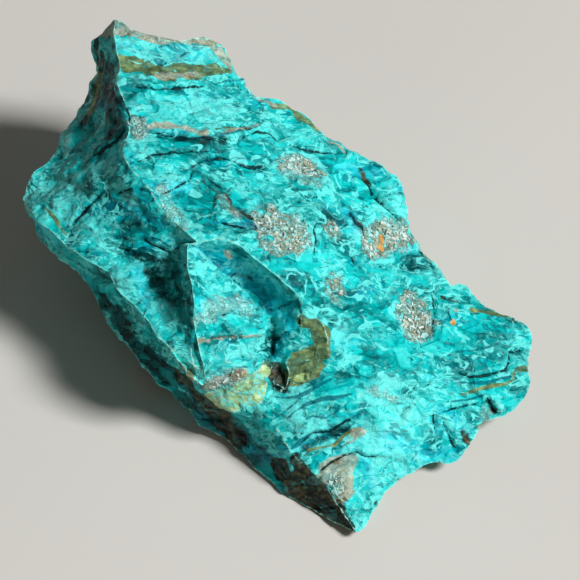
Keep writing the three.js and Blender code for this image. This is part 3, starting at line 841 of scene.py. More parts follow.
    def band_heights(self) -> np.ndarray:
        """How high each point lies across the opal's bands, with their fold and waviness.

        Returns:
            The height across the bands, in millimetres.
        """
        wave_height, wave_length = 1.6, 19.0
        ripple_height, ripple_length = 0.45, 5.0
        level = np.array(self.banding)
        toward = self.viewpoint.axes.col[2]
        turned = Matrix.Rotation(math.radians(self.fold_turn), 3, toward) @ Vector(self.banding)
        middle = np.array(self.on_stone(self.fold_pixel)) / MM
        off = self.points - middle
        share = np.exp(-(off * off).sum(axis=1) / self.fold_radius**2)
        heights = off @ level * (1.0 - share) + off @ np.array(turned) * share
        heights += wave_height * Unevenness.lumps(self.points, wave_length, 11)
        return heights + ripple_height * Unevenness.lumps(self.points, ripple_length, 12, 2)

    def traced(self, pixels: tuple[Pixel, ...]) -> tuple[np.ndarray, np.ndarray]:
        """Lays a line of picture points on the stone.

        Args:
            pixels: The picture points that the line passes.

        Returns:
            Points a fraction of a millimetre apart along it, in millimetres, and how much of the line
            lies before each.
        """
        steps_per_pixel = 1.5
        places, along, walked = [], [], 0.0
        for start, end in itertools.pairwise(pixels):
            length = math.dist(start, end)
            steps = max(1, round(length * steps_per_pixel))
            for step in range(steps + 1):
                share = step / steps
                place = self.on_stone(tuple(a + (b - a) * share for a, b in zip(start, end)))
                if place is not None:
                    places.append(place)
                    along.append(walked + length * share)
            walked += length
        return np.array(places).reshape(-1, 3) / MM, np.array(along) / walked

    def distance_to(self, strokes: tuple[Stroke, ...]) -> np.ndarray:
        """How far each point of the skin lies outside the nearest stroke.

        Args:
            strokes: The markings of one kind.

        Returns:
            Distances in millimetres, negative inside a stroke and never over the reach.
        """
        wobble = 1.0 + self.wobble * Unevenness.lumps(self.points, self.wobble_length, 61, 2)
        outside = np.full(len(self.points), self.reach)
        for stroke in strokes:
            laid, along = self.traced(stroke.pixels)
            if not len(laid):
                LOG.warning("marking %s misses the stone", stroke.name)
                continue
            widths = stroke.half_widths(along)
            near, nearest, apart = self.nearest_on(laid, self.reach + stroke.half_width)
            outside[near] = np.minimum(outside[near], apart - widths[nearest] * wobble[near])
        return outside

    def nearest_on(self, laid: np.ndarray, margin: float) -> tuple[np.ndarray, np.ndarray, np.ndarray]:
        """Finds the nearest laid point for each point of the skin near a stroke.

        Args:
            laid: The stroke's points.
            margin: How far from them the skin's points may lie.

        Returns:
            The skin points' numbers, the nearest laid point's number for each, and how far away it is.
        """
        tree = KDTree(len(laid))
        for index, place in enumerate(laid):
            tree.insert(place, index)
        tree.balance()
        inside = (self.points > laid.min(axis=0) - margin) & (self.points < laid.max(axis=0) + margin)
        near = np.flatnonzero(inside.all(axis=1))
        found = [tree.find(self.points[index]) for index in near]
        return near, np.array([hit[1] for hit in found], int), np.array([hit[2] for hit in found])

    def apart_from(self, laid: np.ndarray, most: float) -> np.ndarray:
        """How far each point of the skin lies from the nearest laid point.

        Args:
            laid: The laid points.
            most: The greatest distance kept.

        Returns:
            Distances in millimetres.
        """
        apart = np.full(len(self.points), most)
        near, _, distance = self.nearest_on(laid, most)
        apart[near] = np.minimum(distance, most)
        return apart

    def chipped(self) -> np.ndarray:
        """The height of the chips, whose flat faces meet in small steps.

        Returns:
            Heights in millimetres.
        """
        squash, bend, bend_length = 0.7, 0.9, 4.5
        bent = self.points + np.outer(self.bands * squash, self.banding)
        lumps = [Unevenness.lumps(self.points, bend_length, seed, 2) for seed in (21, 22, 23)]
        bent += bend * np.stack(lumps, axis=1)
        height = np.zeros(len(self.points))
        for seed, (width, slope, step) in enumerate(self.chips, start=31):
            away, chance = Unevenness.cells(bent, width, seed)
            height += slope * (away * chance).sum(axis=1) + step * chance[:, 0]
        return height

    def ledged(self) -> np.ndarray:
        """The height of the ledges where band after band has broken off.

        Returns:
            Heights in millimetres.
        """
        bend, bend_length, patch_length = 0.4, 9.0, 12.0
        height = np.zeros(len(self.points))
        for seed, (spacing, rise) in enumerate(self.ledges, start=41):
            place = self.bands / spacing + bend * Unevenness.lumps(self.points, bend_length, seed)
            present = ease(Unevenness.lumps(self.points, patch_length, seed + 10), -0.05, 0.3)
            height += rise * present * (0.5 - (place - np.floor(place)))
        return height

    def stepped(self) -> np.ndarray:
        """The height of the stone just above and below each crack.

        Returns:
            Heights in millimetres.
        """
        fade_above, fade_below, below_share, side_width, reach = 2.6, 1.3, 0.6, 0.5, 5.0
        height = np.zeros(len(self.points))
        for stroke in STROKES[Mark.CRACK]:
            laid = self.traced(stroke.pixels)[0]
            if not len(laid):
                continue
            near, nearest, apart = self.nearest_on(laid, reach)
            side = (self.points[near] - laid[nearest]) @ np.array(self.banding)
            above = np.exp(-apart / fade_above) * np.clip(side / side_width, 0.0, 1.0)
            below = below_share * np.exp(-apart / fade_below) * np.clip(-side / side_width, 0.0, 1.0)
            rise = (above - below) * self.step_height
            height[near] = np.where(np.abs(rise) > np.abs(height[near]), rise, height[near])
        return self.averaged(height, 3)

    def hollowed(self) -> np.ndarray:
        """How deep the scooped hollows are, deepest just behind the ridge and running out at the rim.

        Returns:
            Depths in millimetres.
        """
        reach, ridge_width = 12.0, 0.35
        seen = self.viewpoint.pixels(self.points)
        depth = np.zeros(len(self.points))
        for hollow in HOLLOWS:
            ridge, rim = (self.apart_from(self.traced(line)[0], reach) for line in (hollow.ridge, hollow.rim))
            inside = hollow.covers(seen) & (ridge < reach) & (rim < reach)
            share = rim / np.maximum(ridge + rim, 1e-6) * ease(ridge, 0.0, ridge_width)
            depth = np.where(inside, np.maximum(depth, hollow.depth * share), depth)
        return self.averaged(depth, 1)

    def displace(self, skin: Piece) -> None:
        """Moves the skin's points in or out by its chips, ledges, cracks, grain and hollows.

        Args:
            skin: The fine skin.
        """
        lump_size, lump_height = 3.0, 0.1
        grain_size, grain_height, grain_sink, grain_calm = 1.3, 0.3, 0.25, 0.6
        base_band, base_sink, ridge_calm = 0.6, 0.05, 0.5
        move = self.chipped() + self.ledged() + self.stepped()
        move = self.averaged(move + lump_height * Unevenness.lumps(self.points, lump_size, 51, 2), 1)
        move -= self.crack_depth * ease(self.distances[Mark.CRACK], 0.32, -0.2)
        grained = ease(self.distances[Mark.GRAIN], 0.5, -0.5)
        rough = grain_height * Unevenness.lumps(self.points, grain_size, 52, 2) - grain_sink
        move = move * (1.0 - grain_calm * grained) + rough * grained
        move -= self.groove_depth * ease(self.distances[Mark.BROWN], 0.4, -0.6)
        resting = ease(self.points[:, 2], base_band, 0.0) * ease(-self.normals[:, 2], 0.6, 0.95)
        move = move * (1.0 - resting) - base_sink * resting
        outward = np.stack([self.averaged(part, 5) for part in self.normals.T], axis=1)
        sharpness = 1.0 - np.linalg.norm(outward, axis=1)
        outward /= np.linalg.norm(outward, axis=1)[:, None]
        move *= 1.0 - ridge_calm * ease(sharpness, 0.03, 0.2)
        move = np.clip(move, -self.deepest, self.highest) - self.hollowed()
        moved = self.tamed(self.points + outward * move[:, None])
        moved[:, 2] = np.maximum(moved[:, 2], 0.0)
        skin.data.vertices.foreach_set("co", (moved * MM).astype(np.float32).ravel())
        skin.data.update()
        self.points = moved

    def curvature(self, skin: Piece) -> np.ndarray:
        """How far each point stands out from its neighbours, as a share of the distance to them.

        Args:
            skin: The displaced skin.

        Returns:
            Positive on edges and negative in hollows.
        """
        normals = vectors(skin.data.vertex_normals, "vector")
        gap = self.points[self.others] - self.points[self.ends]
        length = np.linalg.norm(gap, axis=1)
        bend = -(gap * normals[self.ends]).sum(axis=1) / np.maximum(length, 1e-6)
        return self.averaged(self.gathered(bend), 2)

    def store_fields(self, skin: Piece) -> None:
        """Keeps the fields that the finish reads as attributes of the skin.

        Args:
            skin: The displaced skin.
        """
        sharp = math.radians(48.0)
        toward = np.array(self.viewpoint.axes.col[2])
        bend = self.curvature(skin)
        fields = {mark.value: distance for mark, distance in self.distances.items()}
        fields["rim"] = self.rim
        fields["band"] = self.bands
        fields["edge"] = ease(bend, 0.04, 0.24)
        # Where the skin lies in a hollow; the finish paints shade there.
        fields["hollow"] = ease(-bend, 0.05, 0.34)
        fields["hidden"] = ease(-(self.normals @ toward), -0.03, 0.25)
        for name, values in fields.items():
            attribute = skin.data.attributes.new(name, "FLOAT", "POINT")
            attribute.data.foreach_set("value", values.astype(np.float32))
        skin.data.shade_smooth()
        skin.data.set_sharp_from_angle(angle=sharp)


@dataclass(frozen=True, eq=False)
class Signal:
    """A number, vector or colour that varies over a surface. Sums on it add nodes to its graph.

    Attributes:
        graph: The graph that it belongs to.
        socket: The node output that it comes from.
    """

    graph: "Graph"
    socket: Socket

    def __add__(self, other: object) -> "Signal":
        """The sum."""
        return self.graph.math("ADD", self, other)

    def __radd__(self, other: object) -> "Signal":
        """The sum, on a plain number."""
        return self.graph.math("ADD", other, self)

    def __sub__(self, other: object) -> "Signal":
        """The difference."""
        return self.graph.math("SUBTRACT", self, other)

    def __rsub__(self, other: object) -> "Signal":
        """The difference from a plain number."""
        return self.graph.math("SUBTRACT", other, self)

    def __mul__(self, other: object) -> "Signal":
        """The product; a vector is scaled."""
        return self.graph.scaled(self, other) if self.is_vector else self.graph.math("MULTIPLY", self, other)

    def __truediv__(self, other: object) -> "Signal":
        """The quotient."""
        return self.graph.math("DIVIDE", self, other)

    def __abs__(self) -> "Signal":
        """The size without its sign."""
        return self.graph.math("ABSOLUTE", self)

    @property
    def is_vector(self) -> bool:
        """Whether it holds three numbers."""
        return self.socket.type in ("VECTOR", "RGBA")


class Graph:
    """Adds nodes to one node tree and joins them."""

    def __init__(self, tree: bpy.types.NodeTree) -> None:
        """Works on the given tree."""
        self.tree = tree

    def add(self, kind: str, **properties: object) -> bpy.types.Node:
        """Adds a node.

        Args:
            kind: The node's type name.
            properties: The node's own settings.

        Returns:
            The node.
        """
        node = self.tree.nodes.new(kind)
        for name, value in properties.items():
            setattr(node, name, value)
        return node

    def feed(self, socket: Socket, value: object) -> None:
        """Joins a socket to a signal, or sets its value.

        Args:
            socket: The input to feed.
            value: The signal, or the plain value.
        """
        if isinstance(value, Signal):
            self.tree.links.new(value.socket, socket)
        else:
            socket.default_value = value

    def made(self, kind: str, output: Key, inputs: dict[Key, object], **properties: object) -> Signal:
        """Adds a node and feeds its inputs.

        Args:
            kind: The node's type name.
            output: Which output is wanted.
            inputs: What is fed to each input.
            properties: The node's own settings.

        Returns:
            The wanted output.
        """
        node = self.add(kind, **properties)
        for key, value in inputs.items():
            self.feed(node.inputs[key], value)
        return Signal(self, node.outputs[output])

    def signals(self, node: bpy.types.Node) -> dict[str, Signal]:
        """A node's outputs by name."""
        outputs = [output for output in node.outputs if output.enabled and output.name]
        return {output.name: Signal(self, output) for output in outputs}

    def math(self, operation: str, a: object, b: object = 0.0) -> Signal:
        """The result of one sum, on vectors where the first value is one."""
        kind = "ShaderNodeVectorMath" if isinstance(a, Signal) and a.is_vector else "ShaderNodeMath"
        return self.made(kind, 0, {0: a, 1: b}, operation=operation)

    def most(self, a: object, b: object) -> Signal:
        """The larger of two numbers."""
        return self.math("MAXIMUM", a, b)

    def scaled(self, vector: object, factor: object) -> Signal:
        """A vector times a number."""
        return self.made("ShaderNodeVectorMath", 0, {0: vector, "Scale": factor}, operation="SCALE")

    def step(self, value: object, low: object, high: object) -> Signal:
        """A smooth rise from 0 at low to 1 at high."""
        inputs = {0: value, 1: low, 2: high}
        return self.made("ShaderNodeMapRange", 0, inputs, interpolation_type="SMOOTHSTEP")

    def mix(self, share: object, under: object, over: object) -> Signal:
        """One colour laid over another."""
        inputs = {0: share, 6: under, 7: over}
        return self.made("ShaderNodeMix", 2, inputs, data_type="RGBA", clamp_factor=True)

    def noise(self, vector: object, scale: object, detail: float = 2.0, distortion: float = 0.0) -> Signal:
        """Cloudy noise, about 0.25 to 0.75."""
        inputs = {"Vector": vector, "Scale": scale, "Detail": detail, "Distortion": distortion}
        return self.made("ShaderNodeTexNoise", 0, inputs)

    def swirl(self, vector: object, scale: float, detail: float) -> Signal:
        """Cloudy noise as a vector about nought."""
        inputs = {"Vector": vector, "Scale": scale, "Detail": detail}
        return self.made("ShaderNodeTexNoise", 1, inputs) - HALVES

    def cells(self, vector: object, scale: float, feature: str = "F1") -> dict[str, Signal]:
        """Cellular noise of the given feature.

        Args:
            vector: Where it is read.
            scale: Cells to a unit.
            feature: Which measure of the cells is wanted.

        Returns:
            The noise's outputs by name.
        """
        node = self.add("ShaderNodeTexVoronoi", feature=feature)
        self.feed(node.inputs["Vector"], vector)
        self.feed(node.inputs["Scale"], scale)
        return self.signals(node)

    def split(self, colour: object) -> list[Signal]:
        """A colour's three parts.

        Args:
            colour: The colour.

        Returns:
            Its red, green and blue.
        """
        node = self.add("ShaderNodeSeparateColor")
        self.feed(node.inputs[0], colour)
        return list(self.signals(node).values())

    def ramp(self, value: object, stops: Stops) -> Signal:
        """A colour picked along a row of colours.

        Args:
            value: Where to pick.
            stops: The colours by their places.

        Returns:
            The colour.
        """
        node = self.add("ShaderNodeValToRGB")
        elements = node.color_ramp.elements
        row = [(place, paint(code)) for place, code in stops.items()]
        elements[0].position, elements[0].color = row[0]
        elements[1].position, elements[1].color = row[-1]
        for place, colour in row[1:-1]:
            elements.new(place).color = colour
        self.feed(node.inputs[0], value)
        return Signal(self, node.outputs[0])

    def stored(self, name: str) -> Signal:
        """A number kept on the mesh."""
        return self.made("ShaderNodeAttribute", "Fac", {}, attribute_name=name)

    def place(self) -> Signal:
        """The point on the piece, in metres."""
        return self.signals(self.add("ShaderNodeTexCoord"))["Object"]

    def group(self, tree: bpy.types.NodeTree, **values: object) -> dict[str, Signal]:
        """Places a node group.

        Args:
            tree: The group.
            values: What is fed to each input; the name vector feeds the input Vector.

        Returns:
            The group's outputs by name.
        """
        node = self.add("ShaderNodeGroup", node_tree=tree)
        for name, value in values.items():
            self.feed(node.inputs[name.title()], value)
        return self.signals(node)

    def bump(self, strength: float, distance: float, height: Signal) -> Signal:
        """A normal bent by a height."""
        return self.made("ShaderNodeBump", 0, {"Strength": strength, "Distance": distance, "Height": height})


def new_material(name: str) -> tuple[bpy.types.Material, Graph, bpy.types.NodeInputs]:
    """Starts a material.

    Args:
        name: The material's name.

    Returns:
        The material, its graph and its shader's inputs.
    """
    material = bpy.data.materials.new(name)
    material.use_nodes = True
    return material, Graph(material.node_tree), material.node_tree.nodes["Principled BSDF"].inputs


class Effects:
    """The node groups that more than one finish or layer uses, each built once."""

    def __init__(self) -> None:
        """Builds every group."""
        self.patch = self.make_patch()
        self.wisps = self.make_wisps()
        self.speckle = self.make_speckle()

    @staticmethod
    def start(name: str, inputs: dict[str, str]) -> tuple[Graph, dict[str, Signal]]:
        """Starts a group.

        Args:
            name: The group's name.
            inputs: Socket kinds by input name.

        Returns:
            The group's graph and what comes in.
        """
        graph = Graph(bpy.data.node_groups.new(name, "ShaderNodeTree"))
        for socket, kind in inputs.items():
            graph.tree.interface.new_socket(name=socket, in_out="INPUT", socket_type=f"NodeSocket{kind}")
        return graph, graph.signals(graph.add("NodeGroupInput"))

    @staticmethod
    def end(graph: Graph, results: dict[str, Signal]) -> bpy.types.NodeTree:
        """Ends a group with its outputs.

        Args:
            graph: The group's graph.
            results: What goes out, by output name.

        Returns:
            The group.
        """
        for name, signal in results.items():
            kind = "Color" if signal.is_vector else "Float"
            graph.tree.interface.new_socket(name=name, in_out="OUTPUT", socket_type=f"NodeSocket{kind}")
        last = graph.add("NodeGroupOutput")
        for name, signal in results.items():
            graph.feed(last.inputs[name], signal)
        return graph.tree

    def make_patch(self) -> bpy.types.NodeTree:
        """A patch with a ragged edge, from a distance in millimetres.

        Returns:
            The group.
        """
        kinds = {name: "Float" for name in ("Distance", "Raggedness", "Scale", "Softness")}
        graph, given = self.start("ragged_patch", {"Vector": "Vector"} | kinds)
        wander = (graph.noise(given["Vector"], given["Scale"], 3.0) - 0.5) * given["Raggedness"]
        inner = given["Softness"] * -1.0
        return self.end(graph, {"Mask": graph.step(given["Distance"] + wander, given["Softness"], inner)})

    def make_wisps(self) -> bpy.types.NodeTree:
        """The terraces of broken opal, each with a painted highlight on its brink and a painted shade at its
        foot, and its flat chips.

        Returns:
            The group, whose outputs are its lines, painted foot shade, tone and height.
        """
        kinds = {name: "Float" for name in ("Scale", "Levels", "Presence")}
        graph, given = self.start("wisp_web", {"Vector": "Vector"} | kinds)
        bend, chip_scale, chip_border, chip_tilt, chip_tone = 1.1, 0.8, 0.04, 0.8, 0.14
        fade, clustering, terrace_rise, fleck_rise = 0.04, 1.2, 1.9, 0.14
        thickening, thinnest, feather = 0.34, 0.003, 0.55
        blob_share, brink_highlight_share, seam_share = 0.75, 0.55, 0.35
        scaled = given["Vector"] * given["Scale"]
        bent = scaled + graph.swirl(scaled, 0.6, 1.0) * bend
        cloud = graph.noise(bent, 0.8, 1.0, 0.35) * given["Levels"]
        part = graph.math("FRACT", cloud)
        level = graph.math("FLOOR", cloud) / given["Levels"]
        threshold = 1.0 - given["Presence"]
        busy = (graph.noise(scaled, 0.33, 1.0) - 0.5) * clustering
        present = graph.step(graph.noise(scaled, 1.1, 2.0) + busy, threshold - fade, threshold + fade)
        chip = graph.cells(bent, chip_scale)
        border = graph.cells(bent, chip_scale, "DISTANCE_TO_EDGE")["Distance"]
        seam = 1.0 - graph.step(border, 0.0, chip_border)
        thickness = graph.most((graph.noise(scaled, 2.6, 1.0) - 0.4) * thickening, thinnest)
        off_line = abs(graph.noise(bent, 1.6, 2.0, 0.9) - 0.5)
        squiggle = 1.0 - graph.step(off_line, thickness * feather, thickness)
        blob = graph.step(graph.noise(bent, 1.5, 2.0, 0.6), 0.62, 0.65)
        flecks = graph.most(squiggle, blob * blob_share)
        # Painted highlight along each terrace's brink.
        brink_highlight = graph.step(part, 0.84, 0.97) * brink_highlight_share
        lines = graph.most(flecks, graph.most(brink_highlight, seam * seam_share))
        # Painted shade at the foot of each terrace.
        foot_shade = 1.0 - graph.step(part, 0.0, 0.2)
        away = bent * chip_scale - chip["Position"]
        lean = {0: chip["Color"] - HALVES, 1: away}
        slope = graph.made("ShaderNodeVectorMath", "Value", lean, operation="DOT_PRODUCT")
        rise = graph.step(part, 0.72, 1.0) / given["Levels"]
        height = slope * chip_tilt + (level + rise) * terrace_rise + flecks * present * fleck_rise
        tone = level + (graph.split(chip["Color"])[0] - 0.5) * chip_tone
        seen = {"Lines": lines * present, "FootShade": foot_shade * present}
        return self.end(graph, seen | {"Tone": tone, "Height": height})

    def make_speckle(self) -> bpy.types.NodeTree:
        """The mixed grey, white and brown of small mineral grains.

        Returns:
            The group, whose outputs are its colour and height.
        """
        graph, given = self.start("grain_speckle", {"Vector": "Vector", "Scale": "Float"})
        curl, least_rise, gap_colour = 2.6, 0.4, paint("7c8a7e")
        tints = {0.0: "77745c", 0.14: "8f9a84", 0.32: "a4cfc8", 0.52: "e6efe6"}
        tints |= {0.74: "5cd0cf", 0.88: "c9b795", 1.0: "8a7454"}
        scaled = given["Vector"] * given["Scale"]
        bent = scaled + graph.swirl(scaled, 1.1, 2.0) * curl
        chance, rise, _ = graph.split(graph.cells(bent, 1.0)["Color"])
        shade = graph.step(graph.cells(bent, 1.0, "DISTANCE_TO_EDGE")["Distance"], -0.05, 0.1)
        colour = graph.mix(shade, gap_colour, graph.ramp(chance, tints))
        return self.end(graph, {"Colour": colour, "Height": shade * (rise + least_rise)})


@dataclass(frozen=True)
class MarkFinish:
    """How one kind of marking looks.

    Attributes:
        raggedness: How far its border wanders, in millimetres.
        softness: Half the width of its border, in millimetres.
        calm: How much it keeps flecks and lines off, from 0 to 1.
        tone: How much lighter it makes the turquoise.
        flecks: How much thicker the flecks lie on it.
        cover: How much of the turquoise its own colours hide.
        tint: Its own colours, from its darkest to its palest.
    """

    raggedness: float
    softness: float
    calm: float = 0.0
    tone: float = 0.0
    flecks: float = 0.0
    cover: float = 0.0
    tint: Stops = field(default_factory=dict)


MARK_FINISHES: dict[Mark, MarkFinish] = {
    # Lighter: pale opal, and painted light on lit faces.
    Mark.PALE_AND_LIGHT: MarkFinish(4.0, 1.2, 0.0, 0.2, 0.07, 0.2, {0.36: "1cc2c6", 0.5: "80e6e4", 0.62: "d4f6f0"}),
    # Darker: a deep teal stain, and painted shade on shaded walls and cliffs.
    Mark.DEEP_AND_SHADE: MarkFinish(2.0, 0.5, 0.9, -0.3, -0.12),
    # Bluer and lighter: painted light on the scoop's shaded far side.
    Mark.BLUE: MarkFinish(1.3, 0.3, 0.35, 0.16, -0.05),
    # Darker: painted shade on the scoop's wall.
    Mark.WALL: MarkFinish(0.5, 0.15, 0.5, -0.24),
    Mark.OLIVE: MarkFinish(0.55, 0.1, 0.9, cover=0.95, tint={0.32: "3f4f2c", 0.5: "627547", 0.68: "8fa66a"}),
    Mark.TAN: MarkFinish(1.1, 0.2, 0.9, cover=0.88, tint={0.3: "64583e", 0.5: "a49474", 0.68: "dacfb2"}),
    Mark.BROWN: MarkFinish(2.0, 0.25, 0.9, cover=0.97, tint={0.34: "110e08", 0.5: "2e2918", 0.7: "6a6042"}),
    Mark.YELLOW: MarkFinish(0.9, 0.12, 0.2, cover=0.94, tint={0.32: "8cae66", 0.5: "b6d68e", 0.68: "e0f4cc"}),
    Mark.OCHRE: MarkFinish(0.6, 0.12, 0.9, cover=0.95, tint={0.3: "a8641f", 0.5: "d8963a", 0.7: "efc473"}),
    Mark.SEAM: MarkFinish(0.45, 0.12),
    Mark.MOTTLE: MarkFinish(3.0, 0.5),
}
# The opal's own tones from deep to pale, on its teal side and on its cyan side.
TONES = (0.1, 0.28, 0.42, 0.56, 0.72, 0.92)
GREENS: Stops = dict(zip(TONES, ("00302f", "00696a", "009493", "00b6b5", "10d2d0", "50ebe4")))
BLUES: Stops = dict(zip(TONES, ("003642", "006a7c", "0094a4", "00b4c0", "1cd2dc", "5ae6ee")))


@dataclass(frozen=True)
class OpalFinish:
    """The waxy banded opal of the stone's skin.

    Attributes:
        wisp: The pale lines and broken edges, also painted highlight on terrace brinks.
        fleck: The small pale flecks.
        rim: The thin pale line along a sharp ridge.
        foot: Painted shade below a terrace, also the colour of small dark flecks.
        seam: The thin teal lines between bands.
        shadow: Painted shade in cracks and hollows, also the colour of thin dark vein lines.
        wax: Roughness of the broken opal.
        shine: Strength of the surface reflection.
        usual_tone: The opal's middle tone, from 0, deep, to 1, pale.
        layering: How much the flecks are squeezed across the bands.
        streaking: How much the streaks are squeezed across the bands.
        speckle_scale: Mineral grains to a millimetre.
    """

    wisp: Colour = paint("66ece6")
    fleck: Colour = paint("70f2ee")
    rim: Colour = paint("b4ecd8")
    foot: Colour = paint("004c58")
    seam: Colour = paint("006c78")
    shadow: Colour = paint("02262c")
    wax: float = 0.42
    shine: float = 0.09
    usual_tone: float = 0.54
    layering: float = 0.5
    streaking: float = 3.0
    speckle_scale: float = 0.9

    def build(self, effects: Effects) -> bpy.types.Material:
        """Makes the material.

        Args:
            effects: The shared node groups.

        Returns:
            The material, ready for the skin.
        """
        material, graph, inputs = new_material("waxy_blue_opal")
        painter = OpalPainter(self, effects, graph)
        for layer in (painter.mark, painter.crust, painter.fleck, painter.wear_and_painted_shade, painter.grain, painter.crack):
            layer()
        graph.feed(inputs["Base Color"], painter.colour)
        graph.feed(inputs["Normal"], painter.relief())
        graph.feed(inputs["Roughness"], painter.roughness())
        inputs["Specular IOR Level"].default_value = self.shine
        return material


class OpalPainter:
    """Lays the opal's layers over one another in a material's graph.

    Attributes:
        finish: The finish's values.
        effects: The shared node groups.
        graph: The material's graph.
        place: The point on the stone, in millimetres.
        layered: The same, squeezed across the bands a little, for flecks and chips.
        streaked: The same, squeezed far more, for streaks.
        web: The terraces and chips.
        fine_web: Smaller ones.
        speckle: The mixed colours and the relief of mineral grains.
        masks: Where each kind of marking covers the stone.
        crusted: Where the weathered crust lies.
        grained: Where the grains' ground lies.
        calm: Where there are few flecks and lines.
        colour: The colour so far.
    """

    def __init__(self, finish: OpalFinish, effects: Effects, graph: Graph) -> None:
        """Sets out the masks and the turquoise ground.

        Args:
            finish: The finish's values.
            effects: The shared node groups.
            graph: The material's graph.
        """
        self.finish = finish
        self.effects = effects
        self.graph = graph
        self.place = graph.place() * (1.0 / MM)
        across = graph.scaled(BAND_NORMAL, graph.stored("band"))
        self.layered = self.place + across * finish.layering
        self.streaked = self.place + across * finish.streaking
        self.web = graph.group(effects.wisps, vector=self.layered, scale=0.15, levels=5.5, presence=0.52)
        self.fine_web = graph.group(effects.wisps, vector=self.layered, scale=0.3, levels=4.0, presence=0.44)
        self.speckle = graph.group(effects.speckle, vector=self.place, scale=finish.speckle_scale)
        self.masks = {
            mark: self.mask(graph.stored(mark.value), look.raggedness, look.softness)
            for mark, look in MARK_FINISHES.items()
        }
        self.crusted: Signal | float = 0.0
        self.grained: Signal | float = 0.0
        self.calm: Signal | float = 0.0
        self.colour = self.turquoise()

    def mask(self, distance: Signal, raggedness: float, softness: float, scale: float = 0.75) -> Signal:
        """Where a marking covers the stone.

        Args:
            distance: How far outside the marking a point lies, in millimetres.
            raggedness: How far its border wanders.
            softness: Half the width of its border.
            scale: How closely its border wanders.

        Returns:
            The mask.
        """
        values = {"distance": distance, "raggedness": raggedness, "softness": softness, "scale": scale}
        return self.graph.group(self.effects.patch, vector=self.place, **values)["Mask"]

    def lay(self, share: Signal, over: object) -> None:
        """Lays a colour over what is there."""
        self.colour = self.graph.mix(share, self.colour, over)

    def turquoise(self) -> Signal:
        """The opal's own blue-greens, in clouds, streaks and chips, lighter or darker where stained, and
        where light and shade are painted.

        Returns:
            The colour.
        """
        graph = self.graph
        tone = self.finish.usual_tone
        shares = [
            (graph.noise(self.place, 0.07, 1.0), 0.5, 0.35),
            (graph.math("SNAP", graph.noise(self.streaked, 0.11, 1.0, 0.3), 0.08), 0.46, 0.45),
            (self.web["Tone"], 0.4, 0.75),
            (self.fine_web["Tone"], 0.38, 0.5),
        ]
        # Some marks' tones paint light and shade: lighter on lit faces and the scoop's shaded far side,
        # darker on shaded walls, cliffs and the scoop's wall.
        shares += [(self.masks[mark], 0.0, look.tone) for mark, look in MARK_FINISHES.items() if look.tone]
        for value, middle, share in shares:
            tone = tone + (value - middle) * share
        blue = graph.step(graph.noise(self.streaked, 0.055, 3.0, 0.4), 0.52, 0.7)
        blue = graph.most(graph.most(blue, self.masks[Mark.BLUE]), self.masks[Mark.WALL])
        return graph.mix(blue, graph.ramp(tone, GREENS), graph.ramp(tone, BLUES))

    def mark(self) -> None:
        """Lays the markings' own colours over the turquoise, and keeps flecks off them."""
        tan_speckle = 0.4
        shade = self.graph.noise(self.layered, 0.55, 4.0, 0.5)
        for mark, look in MARK_FINISHES.items():
            mask = self.masks[mark]
            if look.tint:
                tint = self.graph.ramp(shade, look.tint)
                if mark is Mark.TAN:
                    tint = self.graph.mix(tan_speckle, tint, self.speckle["Colour"])
                self.lay(mask * look.cover, tint)
            if look.calm:
                self.calm = self.graph.most(self.calm, mask * look.calm)

    def crust(self) -> None:
        """Lays a weathered crust in bands over the sides that are hidden from the viewpoint."""
        cover = 0.9
        tints = {0.3: "43341f", 0.42: "6d6538", 0.52: "937f5a", 0.62: "bca482", 0.75: "6aa79c"}
        bands = self.graph.step(self.graph.noise(self.streaked, 0.045, 4.0, 0.4), 0.46, 0.53)
        self.crusted = self.graph.stored("hidden") * bands
        self.lay(self.crusted * cover, self.graph.ramp(self.graph.noise(self.streaked, 0.2, 5.0, 0.6), tints))
        self.calm = self.graph.most(self.crusted, self.calm)

    def fleck(self) -> None:
        """Scatters small pale and dark flecks, thickest where the opal is pale."""
        graph = self.graph
        pale_cover, deep_cover, clustering, thinning = 0.7, 0.55, 0.34, 0.12
        busy = (graph.noise(self.layered, 0.09, 2.0) - 0.5) * clustering
        spread = graph.noise(self.layered, 0.3, 1.5, 1.1) + busy
        for mark, look in MARK_FINISHES.items():
            if look.flecks:
                spread = spread + self.masks[mark] * look.flecks
        pale = graph.step(spread - self.calm * thinning, 0.6, 0.625)
        deep = graph.step(graph.noise(self.layered, 0.34, 1.5, 1.2), 0.41, 0.38)
        self.lay(deep * (1.0 - self.calm) * deep_cover, self.finish.foot)
        self.lay(pale * pale_cover, self.finish.fleck)

    def wear_and_painted_shade(self) -> None:
        """Lightens edges, ridges and squiggles, with painted highlight on terrace brinks; paints shade in
        hollows and terrace feet.
        """
        graph = self.graph
        hollow_shade_cover, foot_shade_cover, line_cover, rim_cover, edge_cover = 0.45, 0.3, 0.88, 0.8, 0.85
        fine_foot_shade, fine_lines, rim_raggedness = 0.5, 0.55, 0.7
        fresh = 1.0 - self.calm * 0.95
        # Painted shade in hollows.
        self.lay(graph.stored("hollow") * hollow_shade_cover, self.finish.shadow)
        # Painted shade at the terraces' feet.
        foot_shade = graph.most(self.web["FootShade"], self.fine_web["FootShade"] * fine_foot_shade)
        self.lay(foot_shade * foot_shade_cover, self.finish.foot)
        # Pale squiggles and chip borders, with painted highlight on the terraces' brinks.
        lines = graph.most(self.web["Lines"], self.fine_web["Lines"] * fine_lines)
        self.lay(lines * line_cover * fresh, self.finish.wisp)
        rim = graph.stored("rim") + graph.noise(self.place, 1.3, 2.0) * rim_raggedness
        self.lay((1.0 - graph.step(rim, 0.42, 0.58)) * rim_cover, self.finish.rim)
        edge = graph.stored("edge") * graph.step(graph.noise(self.place, 1.1, 3.0), 0.3, 0.55)
        self.lay(edge * edge_cover * fresh, self.finish.wisp)

